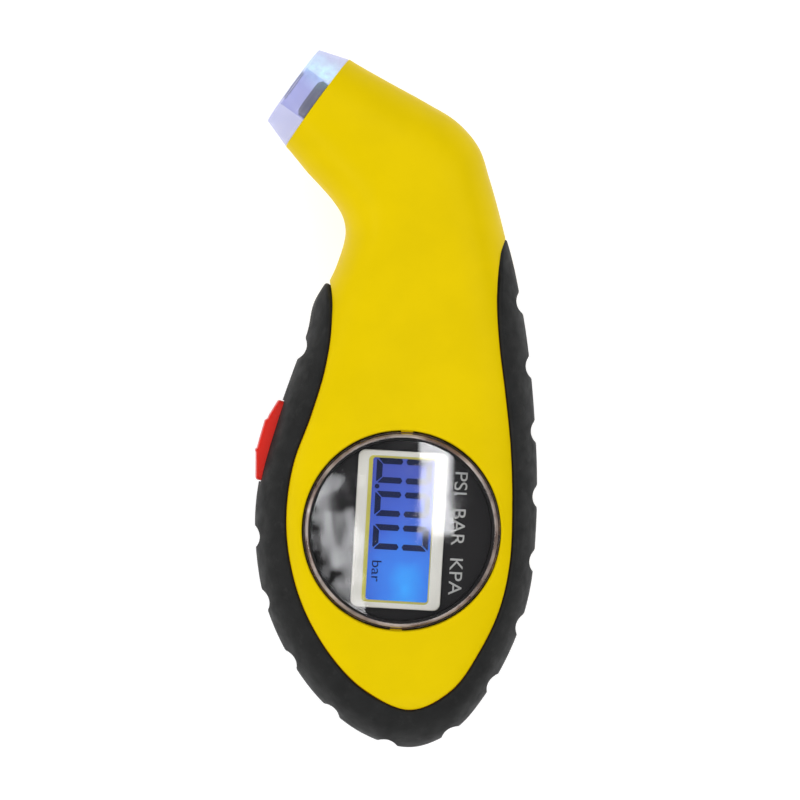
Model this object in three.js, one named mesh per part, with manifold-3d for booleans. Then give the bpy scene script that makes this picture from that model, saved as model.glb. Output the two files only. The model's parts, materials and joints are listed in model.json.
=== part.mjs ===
// Hand-held digital tyre pressure gauge, lying on its back.
// Millimetres. +Z is the display side, +Y runs towards the nozzle, +X is to the right of the display.
// The back of the casing rests on Z = 0.

import * as THREE from 'three';
import { mergeVertices } from 'three/addons/utils/BufferGeometryUtils.js';
import Module from 'manifold-3d';

const wasm = await Module();
wasm.setup();

// ---------------------------------------------------------------- driving dimensions

const MID_Z = 14.3; // parting plane of the two shells
const PARTING_GAP = 0.1; // half of the gap between the shells
const CLEARANCE = 0.3; // gap between neighbouring pieces
const WALL = 2.2; // shell wall
const GRIP_PROUD = 0.5; // how far the rubber stands off the casing
const GRIP_DEPTH = 2.3; // how deep the rubber sits in the casing
const GRIP_WALL = 4.7; // from the casing's outline to the cavity, under the rubber
const END_ROUNDING = 11; // rounding of the lower end, seen from the side

// Ribs of the casing, from the lower end to the mouth:
// left x, left y, right x, right y, half thickness, squareness of the section.
const LOWER_END = { x: 3.2, y: -69.1, halfThickness: 12.4, squareness: 3.6 };
const RIBS = [
  [-6.5, -66.3, 11.6, -65.6, 12.8, 3.8],
  [-15.2, -59.2, 17.6, -58.7, 13.6, 4.3],
  [-22.0, -49.2, 23.2, -48.4, 14.3, 4.8],
  [-26.1, -38.5, 26.4, -38.0, 14.5, 5.0],
  [-27.6, -26.0, 27.6, -26.0, 14.5, 5.0],
  [-26.9, -16.8, 27.8, -14.5, 14.5, 5.0],
  [-23.6, -4.8, 27.3, -3.5, 14.5, 4.9],
  [-20.2, 5.0, 26.5, 6.0, 14.4, 4.6],
  [-17.1, 13.2, 25.4, 14.6, 14.2, 4.2],
  [-14.4, 21.0, 23.9, 23.0, 13.8, 3.8],
  [-11.6, 27.2, 22.1, 31.6, 13.3, 3.4],
  [-10.0, 33.2, 20.4, 38.4, 12.8, 3.1],
  [-10.6, 36.5, 18.8, 44.0, 12.4, 2.9],
  [-12.5, 39.6, 16.7, 50.2, 12.0, 2.7],
  [-14.9, 42.4, 12.4, 55.3, 11.6, 2.5],
  [-17.6, 45.3, 6.0, 59.3, 11.2, 2.3],
  [-19.9, 48.1, -1.8, 63.6, 10.8, 2.1],
];

const MOUTH = { x: -15.6, y: 59.2, radius: 10.8, turn: THREE.MathUtils.degToRad(53.9) };
const MOUTH_OVERRUN = 6; // how far the cavity is carried past the mouth

// Edge between the yellow face and the rubber, from the right tip round the lower end to the left tip.
const FACE_EDGE = [
  [23.6, 34.6],
  [21.3, 29.0],
  [20.3, 20.5],
  [20.7, 11.0],
  [21.9, 1.0],
  [23.0, -10.0],
  [23.3, -21.0],
  [22.8, -32.5],
  [20.7, -41.8],
  [16.8, -50.0],
  [11.3, -57.6],
  [3.0, -61.7],
  [-5.9, -57.8],
  [-12.4, -51.4],
  [-18.1, -41.8],
  [-21.0, -32.0],
  [-21.7, -23.0],
  [-20.3, -13.0],
  [-16.8, -3.4],
  [-14.0, 6.0],
  [-12.8, 15.0],
  [-13.6, 24.4],
];

const NOTCH = { first: 69.9, pitch: 12.9, count: 16, radius: 2.9, depth: 1.0 };
const NOTCHES_LEFT_OUT = [13, 14]; // where the button stands

const DISPLAY = { x: 1.2, y: -26.1, tilt: THREE.MathUtils.degToRad(-3.3) };
const LENS = { radius: 19.6, rimTop: 18.0, thickness: 1.9, top: 28.5, bevel: 0.8 };
const LEDGE = { inner: 17.9, outer: 22.2, top: 25.9, bottom: 24.2 };
const LCD_FRAME = { width: 17.8, length: 31.6, corner: 1.4, bottom: 25.4, top: 26.2 };
const LCD_WINDOW = { width: 12.9, length: 28.3 };
const LCD_GLASS = { width: 15.6, length: 31.0, bottom: 21.7, top: 23.6 };
const CARD = { radius: 17.5, bottom: 24.7, top: 25.1 };
const HOLDER = { width: 18.6, length: 33.4, top: 24.4, plate: 0.6, wall: 1.1 };
const PCB = { bottom: 17.0, top: 18.6 };

const BUTTON = {
  x: -25.04,
  y: -8.28,
  turn: THREE.MathUtils.degToRad(74.6),
  halfLength: 8.4,
  halfHeight: 4.5,
};

// Clear nozzle, along its own axis from the mouth.
const NOZZLE = { bore: 4.4, plug: 8.0, base: 10.7, front: 8.75, back: -6.8, shoulder: 0.3, length: 6.0 };
const NOZZLE_LED = { offset: 6.2, radius: 1.5, pocket: 1.8 };
const VALVE_SEAL = { hole: 1.7, radius: 4.1, back: -3.4, front: 2.2 };
const VALVE_PIN = { radius: 0.8, tip: 2.0 };

const COIN = { x: 1.2, y: -26.0, radius: 10, bottom: 3.9, top: 7.1 };
const COVER = {
  radius: 10.9,
  bottom: 0.25,
  top: 1.9,
  hub: 9.7,
  hubTop: 3.5,
  lugReach: 12.4,
  openAngle: 45,
};

const CASE_SCREWS = [
  [-5.5, -52.6],
  [10.0, -52.8],
  [-5.0, 24.0],
  [15.0, 24.5],
  [11.5, 48.0],
];
const CASE_SCREW = { headRadius: 2.3, shaftRadius: 1.1, headBottom: 5.2, seat: 6.8, tip: 19.4 };
const PCB_SCREWS = [
  [-12.6, -40.5],
  [16.2, -8.5],
];
const PCB_SCREW = { headRadius: 1.9, shaftRadius: 0.85, headBottom: 15.3, seat: 16.7, tip: 21.5 };

// ---------------------------------------------------------------- materials

const plastic = (color, roughness) => new THREE.MeshStandardMaterial({ color, roughness, metalness: 0 });
const metal = (color, roughness) => new THREE.MeshStandardMaterial({ color, roughness, metalness: 1 });

const yellowAbs = plastic('#eacc02', 0.35);
const blackRubber = plastic('#2f2f2f', 0.85);
const clearPlastic = plastic('#dfe6f4', 0.08);
const sealRubber = plastic('#222222', 0.8);
const redPlastic = plastic('#cc2820', 0.4);
const whitePlastic = plastic('#f1f1ee', 0.45);
const blackPlastic = plastic('#141416', 0.5);
const brass = metal('#c9a24a', 0.3);
const steel = metal('#b9bcc0', 0.3);
const boardGreen = plastic('#1d6b3a', 0.5);
const blueLight = plastic('#3f7bff', 0.3);
const ceramic = plastic('#b79a74', 0.5);

// ---------------------------------------------------------------- solids

function toSolid(geometry) {
  const plain = geometry.clone();
  plain.deleteAttribute('normal');
  plain.deleteAttribute('uv');
  const merged = mergeVertices(plain, 1e-4);
  return new wasm.Manifold(
    new wasm.Mesh({
      numProp: 3,
      vertProperties: new Float32Array(merged.attributes.position.array),
      triVerts: new Uint32Array(merged.index.array),
    }),
  );
}

function toGeometry(solid) {
  const { vertProperties, triVerts } = solid.getMesh();
  const geometry = new THREE.BufferGeometry();
  geometry.setAttribute('position', new THREE.BufferAttribute(vertProperties, 3));
  geometry.setIndex(new THREE.BufferAttribute(triVerts, 1));
  geometry.computeVertexNormals();
  return geometry;
}

function box(x0, x1, y0, y1, z0, z1) {
  const geometry = new THREE.BoxGeometry(x1 - x0, y1 - y0, z1 - z0);
  return geometry.translate((x0 + x1) / 2, (y0 + y1) / 2, (z0 + z1) / 2);
}

// Cylinder that stands on z0 and reaches z1.
function post(x, y, radius, z0, z1, sides = 24) {
  const geometry = new THREE.CylinderGeometry(radius, radius, z1 - z0, sides);
  return geometry.rotateX(Math.PI / 2).translate(x, y, (z0 + z1) / 2);
}

// Ring of rectangular section round a vertical axis.
function ring(x, y, inner, outer, z0, z1, sides = 40) {
  const profile = [
    new THREE.Vector2(inner, z0),
    new THREE.Vector2(outer, z0),
    new THREE.Vector2(outer, z1),
    new THREE.Vector2(inner, z1),
    new THREE.Vector2(inner, z0),
  ];
  return new THREE.LatheGeometry(profile, sides).rotateX(Math.PI / 2).translate(x, y, 0);
}

// Body of revolution round the local Y axis, from radius and height pairs.
function turned(pairs, sides = 32) {
  return new THREE.LatheGeometry(pairs.map(([radius, height]) => new THREE.Vector2(radius, height)), sides);
}

function roundedRectangle(width, length, corner) {
  const x = width / 2;
  const y = length / 2;
  const shape = new THREE.Shape();
  shape.moveTo(-x + corner, -y);
  shape.lineTo(x - corner, -y);
  shape.absarc(x - corner, -y + corner, corner, -Math.PI / 2, 0);
  shape.lineTo(x, y - corner);
  shape.absarc(x - corner, y - corner, corner, 0, Math.PI / 2);
  shape.lineTo(-x + corner, y);
  shape.absarc(-x + corner, y - corner, corner, Math.PI / 2, Math.PI);
  shape.lineTo(-x, -y + corner);
  shape.absarc(-x + corner, -y + corner, corner, Math.PI, 1.5 * Math.PI);
  return shape;
}

function slab(shape, z0, z1, curveSegments = 4) {
  const settings = { depth: z1 - z0, bevelEnabled: false, curveSegments };
  return new THREE.ExtrudeGeometry(shape, settings).translate(0, 0, z0);
}

// ---------------------------------------------------------------- casing form

const mouthAxis = new THREE.Vector3(-Math.sin(MOUTH.turn), Math.cos(MOUTH.turn), 0);
const mouthAcross = new THREE.Vector3(Math.cos(MOUTH.turn), Math.sin(MOUTH.turn), 0);
const mouthCentre = new THREE.Vector3(MOUTH.x, MOUTH.y, 0);

function mouthEnd(side, overrun) {
  const end = mouthCentre.clone().addScaledVector(mouthAcross, side * MOUTH.radius);
  return end.addScaledVector(mouthAxis, overrun);
}

const MOUTH_RIB = RIBS.length + 1;
const LAST_RIB = MOUTH_RIB + 1;

const leftPoints = RIBS.map(([x, y]) => new THREE.Vector3(x, y, 0));
const rightPoints = RIBS.map(([, , x, y]) => new THREE.Vector3(x, y, 0));
leftPoints.push(mouthEnd(-1, 0), mouthEnd(-1, MOUTH_OVERRUN));
rightPoints.push(mouthEnd(1, 0), mouthEnd(1, MOUTH_OVERRUN));
const lowerEnd = new THREE.Vector3(LOWER_END.x, LOWER_END.y, 0);

// One curve down the left side, round the lower end and up the right side.
const outlinePoints = [...leftPoints.reverse(), lowerEnd, ...rightPoints];
const outline = new THREE.CatmullRomCurve3(outlinePoints, false, 'centripetal');

const sectionSizes = RIBS.map((rib) => new THREE.Vector3(rib[4], rib[5], 0));
sectionSizes.unshift(new THREE.Vector3(LOWER_END.halfThickness, LOWER_END.squareness, 0));
sectionSizes.push(new THREE.Vector3(MOUTH.radius, 2, 0), new THREE.Vector3(MOUTH.radius, 2, 0));
const sections = new THREE.CatmullRomCurve3(sectionSizes, false, 'centripetal');

// Point of the outline at a parameter, moved inwards.
function insetPoint(parameter, inset) {
  const tangent = outline.getTangent(parameter);
  const inward = new THREE.Vector3(-tangent.y, tangent.x, 0);
  return outline.getPoint(parameter).addScaledVector(inward, inset);
}

const QUADRANT = [0, 20, 40, 60, 78];
const UPPER_HALF = [...QUADRANT, 90, ...QUADRANT.slice(1).reverse().map((angle) => 180 - angle)];
const LOWER_HALF = UPPER_HALF.map((angle) => angle + 180);
const SECTION_ANGLES = [...UPPER_HALF, ...LOWER_HALF].map(THREE.MathUtils.degToRad);

// Closed form through the ribs, set in from the outline sideways and in thickness.
function casingForm(sideInset, thicknessInset, lastRib = MOUTH_RIB, stations = 22) {
  const bottom = insetPoint(0.5, sideInset(0));
  const positions = [bottom.x, bottom.y, MID_Z];
  const around = SECTION_ANGLES.length;
  for (let station = 1; station <= stations; station += 1) {
    const rib = lastRib * (1 - Math.cos((Math.PI / 2) * (station / stations)));
    const left = insetPoint((LAST_RIB - rib) / (2 * LAST_RIB), sideInset(rib));
    const right = insetPoint((LAST_RIB + rib) / (2 * LAST_RIB), sideInset(rib));
    const size = sections.getPoint(rib / LAST_RIB);
    const rise = Math.min(((left.y + right.y) / 2 - bottom.y) / END_ROUNDING, 1);
    const halfThickness = (size.x - thicknessInset) * Math.sqrt(1 - (1 - rise) ** 2);
    const centre = left.clone().add(right).multiplyScalar(0.5);
    const half = right.clone().sub(left).multiplyScalar(0.5);
    for (const angle of SECTION_ANGLES) {
      const across = Math.sign(Math.cos(angle)) * Math.abs(Math.cos(angle)) ** (2 / size.y);
      positions.push(
        centre.x + half.x * across,
        centre.y + half.y * across,
        MID_Z + halfThickness * Math.sin(angle),
      );
    }
  }
  const faces = [];
  for (let k = 0; k < around; k += 1) {
    const next = (k + 1) % around;
    faces.push(0, 1 + k, 1 + next);
    for (let station = 1; station < stations; station += 1) {
      const lower = 1 + (station - 1) * around;
      const upper = lower + around;
      faces.push(lower + k, upper + next, lower + next);
      faces.push(lower + k, upper + k, upper + next);
    }
  }
  const lid = 1 + (stations - 1) * around;
  for (let k = 1; k < around - 1; k += 1) {
    faces.push(lid, lid + k + 1, lid + k);
  }
  const geometry = new THREE.BufferGeometry();
  geometry.setAttribute('position', new THREE.Float32BufferAttribute(positions, 3));
  geometry.setIndex(faces);
  return toSolid(geometry);
}

// Upright prism over the yellow face and everything above the tips of the rubber.
function facePrism(grow) {
  const corners = FACE_EDGE.map(([x, y]) => new THREE.Vector3(x, y, 0));
  const edge = new THREE.CatmullRomCurve3(corners, false, 'centripetal');
  const steps = 34;
  const points = [];
  for (let i = 0; i <= steps; i += 1) {
    const tangent = edge.getTangent(i / steps);
    const outward = new THREE.Vector3(-tangent.y, tangent.x, 0);
    const point = edge.getPoint(i / steps).addScaledVector(outward, grow);
    points.push(new THREE.Vector2(point.x, point.y));
  }
  for (const [x, y] of [[-60, 60], [-60, 90], [60, 90], [60, 60]]) {
    points.push(new THREE.Vector2(x, y));
  }
  return toSolid(slab(new THREE.Shape(points), -20, 60));
}

// ---------------------------------------------------------------- shells and rubber

function screwHole([x, y], { shaftRadius, tip }) {
  return toSolid(post(x, y, shaftRadius + 0.2, 0, tip + 1, 8));
}

function screwWell([x, y]) {
  return toSolid(post(x, y, CASE_SCREW.headRadius + 0.4, -5, CASE_SCREW.seat + 0.2, 12));
}

const smoothstep = (x) => THREE.MathUtils.smoothstep(x, 0, 1);
const constant = (value) => () => value;
const cavityInset = (rib) => THREE.MathUtils.lerp(GRIP_WALL, WALL, smoothstep((rib - 8) / 5));

const nozzleFrame = new THREE.Group();
nozzleFrame.position.set(MOUTH.x, MOUTH.y, MID_Z);
nozzleFrame.rotation.z = MOUTH.turn;
nozzleFrame.updateMatrix();

const buttonFrame = new THREE.Group();
buttonFrame.position.set(BUTTON.x, BUTTON.y, MID_Z);
buttonFrame.rotation.z = BUTTON.turn;
buttonFrame.updateMatrix();

const inNozzle = (geometry) => geometry.applyMatrix4(nozzleFrame.matrix);
const inButton = (geometry) => geometry.applyMatrix4(buttonFrame.matrix);

const face = facePrism(0);
const skin = casingForm(constant(0), 0);
const core = casingForm(constant(GRIP_DEPTH + CLEARANCE), GRIP_DEPTH + CLEARANCE);
const cavity = casingForm(cavityInset, WALL, LAST_RIB);
const body = skin.intersect(face).add(core.intersect(skin));

const mouthBore = toSolid(inNozzle(new THREE.CylinderGeometry(8.3, 8.3, 12, 36).translate(0, -4, 0)));
const buttonSlot = toSolid(inButton(box(-8.8, 8.8, -8, 4, -4.9, 4.9)));
const flangePocket = toSolid(inButton(box(-10.2, 10.2, -9, -5.3, -6.4, 6.4)));

function subtractAll(solid, cuts) {
  return cuts.reduce((rest, cut) => rest.subtract(cut), solid);
}

function addAll(solid, pieces) {
  return pieces.reduce((whole, piece) => whole.add(piece), solid);
}

function frontShell() {
  const half = body.intersect(toSolid(box(-60, 60, -90, 90, MID_Z + PARTING_GAP, 60)));
  const wall = half.subtract(cavity);
  const seat = toSolid(post(DISPLAY.x, DISPLAY.y, LEDGE.outer, LEDGE.bottom, 60, 36)).intersect(half);
  const boss = ([x, y], radius, foot) => toSolid(post(x, y, radius, foot, 60, 12)).intersect(half);
  const caseBosses = CASE_SCREWS.map((place) => boss(place, 3.2, MID_Z + PARTING_GAP));
  const pcbBosses = PCB_SCREWS.map((place) => boss(place, 2.6, PCB.top + CLEARANCE));
  const solid = addAll(wall, [seat, ...caseBosses, ...pcbBosses]);
  return subtractAll(solid, [
    toSolid(post(DISPLAY.x, DISPLAY.y, LENS.radius + CLEARANCE, LEDGE.top, 60, 36)),
    toSolid(post(DISPLAY.x, DISPLAY.y, LEDGE.inner, 0, 60, 36)),
    ...CASE_SCREWS.map((place) => screwHole(place, CASE_SCREW)),
    ...PCB_SCREWS.map((place) => screwHole(place, PCB_SCREW)),
    mouthBore,
    buttonSlot,
    flangePocket,
  ]);
}

function lugSector(angle, reach, halfWidth, z0, z1) {
  const geometry = box(0, reach, -halfWidth, halfWidth, z0, z1);
  return geometry.rotateZ(THREE.MathUtils.degToRad(angle)).translate(COIN.x, COIN.y, 0);
}

function rearShell() {
  const half = body.intersect(toSolid(box(-60, 60, -90, 90, 0, MID_Z - PARTING_GAP)));
  const wall = half.subtract(cavity);
  const column = ([x, y]) => toSolid(post(x, y, 3.9, -10, MID_Z - PARTING_GAP, 12));
  const bosses = CASE_SCREWS.map((place) => column(place).intersect(half));
  const well = toSolid(ring(COIN.x, COIN.y, 12.9, 14.4, 1, 8, 32)).intersect(half);
  const solid = addAll(wall, [well, ...bosses]);
  const notches = [0, 180].map((angle) =>
    toSolid(lugSector(angle + COVER.openAngle, COVER.lugReach + CLEARANCE, 2.6, -5, WALL + 1)),
  );
  return subtractAll(solid, [
    toSolid(post(COIN.x, COIN.y, COVER.radius + CLEARANCE, -5, WALL + 1, 32)),
    toSolid(post(COIN.x, COIN.y, COVER.lugReach + 0.5, WALL, 8, 32)),
    ...notches,
    ...CASE_SCREWS.map(screwWell),
    ...CASE_SCREWS.map(([x, y]) => toSolid(post(x, y, CASE_SCREW.shaftRadius + 0.25, 0, 30, 8))),
    mouthBore,
    buttonSlot,
    flangePocket,
  ]);
}

function rubberGrip() {
  const outer = casingForm(constant(-GRIP_PROUD), -GRIP_PROUD);
  const inner = casingForm(constant(GRIP_DEPTH), GRIP_DEPTH);
  const band = outer.subtract(inner).subtract(facePrism(CLEARANCE));
  const scallops = [];
  for (let i = 0; i < NOTCH.count; i += 1) {
    if (!NOTCHES_LEFT_OUT.includes(i)) {
      const along = 1 - (NOTCH.first + i * NOTCH.pitch) / outline.getLength();
      const centre = insetPoint(outline.getUtoTmapping(along), NOTCH.depth - NOTCH.radius - GRIP_PROUD);
      scallops.push(toSolid(post(centre.x, centre.y, NOTCH.radius, -10, 50, 12)));
    }
  }
  return subtractAll(band, [buttonSlot, ...scallops]);
}

// ---------------------------------------------------------------- nozzle

// Clear cone with the valve socket in its front and a plug that sits in the neck.
function nozzleLens() {
  const { bore, plug, base, front, back, shoulder, length } = NOZZLE;
  const outside = [[plug, back], [plug, shoulder], [base, shoulder], [front, length]];
  const cone = toSolid(turned([[bore, back], ...outside, [bore, length], [bore, back]], 30));
  const pocket = new THREE.CylinderGeometry(NOZZLE_LED.pocket, NOZZLE_LED.pocket, 8, 12);
  return toGeometry(cone.subtract(toSolid(pocket.translate(NOZZLE_LED.offset, -6.0, 0))));
}

// Soft ring in the bore, with a rounded lip for the end of the valve.
function nozzleSeal() {
  const { hole, radius, back, front } = VALVE_SEAL;
  const lip = [[radius, front - 0.6], [radius - 0.5, front], [hole + 0.5, front], [hole, front - 0.5]];
  return turned([[hole, back], [radius, back], ...lip, [hole, back]], 24);
}

// Disc with a hose barb behind it and the pin that opens the valve in front of it.
function airInlet() {
  return turned(
    [[0, -13.6], [1.25, -13.6], [1.6, -12.6], [1.25, -12.2], [1.6, -10.6], [1.25, -10.2], [1.25, -5.6],
      [4.1, -5.6], [4.1, -3.7], [0, -3.7]],
    20,
  );
}

function valvePin() {
  const { radius, tip } = VALVE_PIN;
  const foot = [[0, -3.4], [1.3, -3.4], [1.3, -2.6]];
  return turned([...foot, [radius, -2.2], [radius, tip - 0.4], [radius - 0.3, tip], [0, tip]], 16);
}

function nozzleLed() {
  const { offset, radius } = NOZZLE_LED;
  const dome = [0, 30, 60].map((angle) => {
    const turn = THREE.MathUtils.degToRad(angle);
    return [radius * Math.cos(turn), -4.6 + radius * Math.sin(turn)];
  });
  const foot = [[0, -8.6], [1.75, -8.6], [1.75, -7.7], [radius, -7.7]];
  return turned([...foot, ...dome, [0, -4.6 + radius]], 16).translate(offset, 0, 0);
}

// ---------------------------------------------------------------- hose and wires

function path(points) {
  const places = points.map(([x, y, z]) => new THREE.Vector3(x, y, z));
  return new THREE.CatmullRomCurve3(places, false, 'centripetal');
}

function circle(radius, sides) {
  const points = [];
  for (let i = 0; i < sides; i += 1) {
    const angle = (2 * Math.PI * i) / sides;
    points.push(new THREE.Vector2(radius * Math.cos(angle), radius * Math.sin(angle)));
  }
  return points;
}

function hose(points, innerRadius, outerRadius, steps) {
  const shape = new THREE.Shape(circle(outerRadius, 8));
  shape.holes.push(new THREE.Path(circle(innerRadius, 8)));
  return new THREE.ExtrudeGeometry(shape, { steps, extrudePath: path(points), bevelEnabled: false });
}

function wire(points, radius, steps) {
  const shape = new THREE.Shape(circle(radius, 6));
  return new THREE.ExtrudeGeometry(shape, { steps, extrudePath: path(points), bevelEnabled: false });
}

// Point in the nozzle's own axes, given in the frame of the part.
function nozzlePoint(x, y, z) {
  const point = new THREE.Vector3(x, y, z).applyMatrix4(nozzleFrame.matrix);
  return [point.x, point.y, point.z];
}

const SENSOR = { x: 2.0, y: 8.2, half: 3.6, top: 23.4, nippleZ: 21.7, nippleTip: 16.6 };

function airHose() {
  return hose(
    [
      nozzlePoint(0, -6.2, 0),
      nozzlePoint(0, -10.2, 0),
      nozzlePoint(0, -14.2, 0),
      [1.6, 43.0, 15.4],
      [2.6, 34.0, 17.6],
      [2.3, 25.0, 20.4],
      [SENSOR.x, 18.0, SENSOR.nippleZ],
      [SENSOR.x, 12.6, SENSOR.nippleZ],
    ],
    1.9,
    2.8,
    14,
  );
}

function ledWire(offset) {
  return wire(
    [
      nozzlePoint(NOZZLE_LED.offset + offset, -8.9, 0),
      nozzlePoint(NOZZLE_LED.offset + offset, -13.0, 0),
      [6.4 + offset, 44.0, 16.0],
      [7.8 + offset, 34.0, 18.8],
      [8.6 + offset, 24.0, 21.4],
      [9.0 + offset, 14.5, 22.4],
      [9.2 + offset, 10.6, 21.4],
      [9.2 + offset, 10.2, 19.0],
    ],
    0.45,
    16,
  );
}

const BATTERY_LEADS = [
  [[1.2, -30.3, 10.8], [1.2, -30.8, 12.6], [3.6, -33.4, 14.2], [4.4, -34.0, 16.6]],
  [[12.0, -26.0, 10.9], [12.2, -26.8, 12.6], [10.4, -29.4, 14.2], [10.0, -29.8, 16.6]],
];

// ---------------------------------------------------------------- display

// Round window with a bevelled rim.
function displayLens() {
  const { radius, rimTop, thickness, top, bevel } = LENS;
  const base = top - thickness;
  const profile = [[0, base], [radius, base], [radius, top - bevel], [rimTop, top], [0, top]];
  return turned(profile, 48).rotateX(Math.PI / 2).translate(DISPLAY.x, DISPLAY.y, 0);
}

function lensGasket() {
  return ring(DISPLAY.x, DISPLAY.y, 18.1, 19.4, LEDGE.top + 0.1, LENS.top - LENS.thickness - 0.1, 40);
}

function tilted(geometry) {
  return geometry.rotateZ(DISPLAY.tilt).translate(DISPLAY.x, DISPLAY.y, 0);
}

function displayCard() {
  const disc = toSolid(post(0, 0, CARD.radius, CARD.bottom, CARD.top, 40));
  const hole = toSolid(box(-7.4, 7.4, -14.8, 14.8, 0, 60));
  return tilted(toGeometry(disc.subtract(hole)));
}

// White frame: a flange above the card and a sleeve that reaches down to the glass.
function lcdFrame() {
  const { width, length, corner, bottom, top } = LCD_FRAME;
  const flange = toSolid(slab(roundedRectangle(width, length, corner), bottom, top, 3));
  const sleeve = toSolid(box(-7.1, 7.1, -14.5, 14.5, LCD_GLASS.top + CLEARANCE, bottom + 0.1));
  const window = toSolid(slab(roundedRectangle(LCD_WINDOW.width, LCD_WINDOW.length, 0.8), 0, 60, 3));
  return tilted(toGeometry(flange.add(sleeve).subtract(window)));
}

// Carrier on the board: four walls round the glass and a round plate under the card.
function displayHolder() {
  const { width, length, top, plate, wall } = HOLDER;
  const disc = toSolid(post(0, 0, CARD.radius, top - plate, top, 40));
  const x = width / 2;
  const y = length / 2;
  const walls = toSolid(box(-x, x, -y, y, PCB.top + 0.1, top - plate + 0.1));
  const room = toSolid(box(-x + wall, x - wall, -y + wall, y - wall, 0, top - plate));
  const hole = toSolid(box(-7.4, 7.4, -14.8, 14.8, 0, 60));
  return tilted(toGeometry(disc.add(walls).subtract(room).subtract(hole)));
}

// ---------------------------------------------------------------- board

function outlinePlate(points, z0, z1, holes) {
  const shape = new THREE.Shape(points.map(([x, y]) => new THREE.Vector2(x, y)));
  holes.forEach(([x, y, radius]) => {
    const hole = new THREE.Path();
    hole.absarc(x, y, radius, 0, 2 * Math.PI, true);
    shape.holes.push(hole);
  });
  return slab(shape, z0, z1, 6);
}

function mainPcb() {
  const leftEdge = [[-7, 14], [-11.4, 4], [-17.4, -16], [-17.4, -38], [-9, -49]];
  const rightEdge = [[12.5, -49], [20, -38], [20, -3], [14, 14]];
  const holes = PCB_SCREWS.map(([x, y]) => [x, y, PCB_SCREW.shaftRadius + 0.3]);
  return outlinePlate([...leftEdge, ...rightEdge], PCB.bottom, PCB.top, holes);
}

function pressureSensor() {
  const { x, y, half, top, nippleZ, nippleTip } = SENSOR;
  const block = toSolid(box(x - half, x + half, y - half, y + half, PCB.top + 0.1, top));
  const nipple = new THREE.CylinderGeometry(1.5, 1.5, nippleTip - y, 16);
  return block.add(toSolid(nipple.translate(x, (nippleTip + y) / 2, nippleZ)));
}

function screw([x, y], { headRadius, shaftRadius, headBottom, seat, tip }) {
  const profile = [[0, headBottom], [headRadius, headBottom], [headRadius, seat], [shaftRadius, seat],
    [shaftRadius, tip - 1], [0, tip]];
  const blank = toSolid(turned(profile, 12).rotateX(Math.PI / 2));
  const slotHalf = headRadius * 0.7;
  const slots = [toSolid(box(-slotHalf, slotHalf, -0.3, 0.3, headBottom - 1, headBottom + 0.8)),
    toSolid(box(-0.3, 0.3, -slotHalf, slotHalf, headBottom - 1, headBottom + 0.8))];
  return toGeometry(subtractAll(blank, slots)).translate(x, y, 0);
}

// ---------------------------------------------------------------- button and switch

// Domed cap with a raised grip pad, a flange behind the wall and a stem to the switch.
function powerButton() {
  const { halfLength, halfHeight } = BUTTON;
  const crest = [[7.9, 0.5], [4.9, 1.65], [4.2, 1.75], [3.75, 2.2], [0.5, 2.25], [-2.0, 2.3], [-2.5, 2.5]];
  const foot = [[-2.9, 2.3], [-7.9, 0.7], [-halfLength, 0.1], [-halfLength, -5.6], [halfLength, -5.6], [halfLength, 0.1]];
  const side = new THREE.Shape([...crest, ...foot].map(([x, y]) => new THREE.Vector2(x, y)));
  const cap = toSolid(slab(side, -halfHeight, halfHeight));
  const flange = toSolid(box(-9.6, 9.6, -6.8, -5.6, -5.8, 5.8));
  const stem = toSolid(box(-2, 2, -8.6, -6.7, -2, 2));
  return toGeometry(addAll(cap, [flange, stem]));
}

function switchBody() {
  const block = toSolid(box(-3.2, 3.2, -14.8, -10.8, -2.4, 2.4));
  const hole = toSolid(new THREE.CylinderGeometry(1.8, 1.8, 4, 16).translate(0, -11.0, 0));
  return toGeometry(block.subtract(hole));
}

function switchPlunger() {
  return new THREE.CylinderGeometry(1.5, 1.5, 3.2, 16).translate(0, -10.5, 0);
}

// ---------------------------------------------------------------- battery

// Round cover with a coin slot outside and a hub with two locking lugs inside.
function batteryCover() {
  const disc = toSolid(post(COIN.x, COIN.y, COVER.radius, COVER.bottom, COVER.top, 40));
  const hub = toSolid(post(COIN.x, COIN.y, COVER.hub, COVER.top - 0.1, COVER.hubTop, 32));
  const lug = (angle) => toSolid(lugSector(angle, COVER.lugReach, 2.2, WALL + CLEARANCE, COVER.hubTop));
  const slot = toSolid(box(COIN.x - 5.5, COIN.x + 5.5, COIN.y - 0.9, COIN.y + 0.9, -1, COVER.bottom + 0.9));
  return addAll(disc, [hub, lug(0), lug(180)]).subtract(slot);
}

// Plate that closes the cell's well, with slots for the two leads.
function batteryTray() {
  const plate = toSolid(post(COIN.x, COIN.y, 14.2, 8.3, 9.3, 32));
  const leads = [toSolid(box(COIN.x - 0.9, COIN.x + 0.9, COIN.y - 5.0, COIN.y - 3.4, 0, 20)),
    toSolid(box(COIN.x + 10.1, COIN.x + 12.0, COIN.y - 0.9, COIN.y + 0.9, 0, 20))];
  return subtractAll(plate, leads);
}

// Leaf that presses on the middle of the cell and turns up through the plate.
function contactNegative() {
  const under = [[-4.4, 10.4], [-4.4, 7.9], [-1.0, 7.3], [2.4, 7.8]];
  const over = [[2.4, 8.1], [-1.0, 7.6], [-4.1, 8.1], [-4.1, 10.4]];
  return contactStrip([...under, ...over], 0.75).rotateZ(Math.PI / 2).translate(COIN.x, COIN.y, 0);
}

// Strip that stands beside the cell and presses on its rim.
function contactPositive() {
  const inner = [[10.6, 10.4], [10.6, 6.4], [10.3, 5.4], [10.9, 4.3]];
  const outer = [[11.2, 4.3], [10.6, 5.4], [10.9, 6.4], [10.9, 10.4]];
  return contactStrip([...inner, ...outer], 0.75).translate(COIN.x, COIN.y, 0);
}

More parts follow.
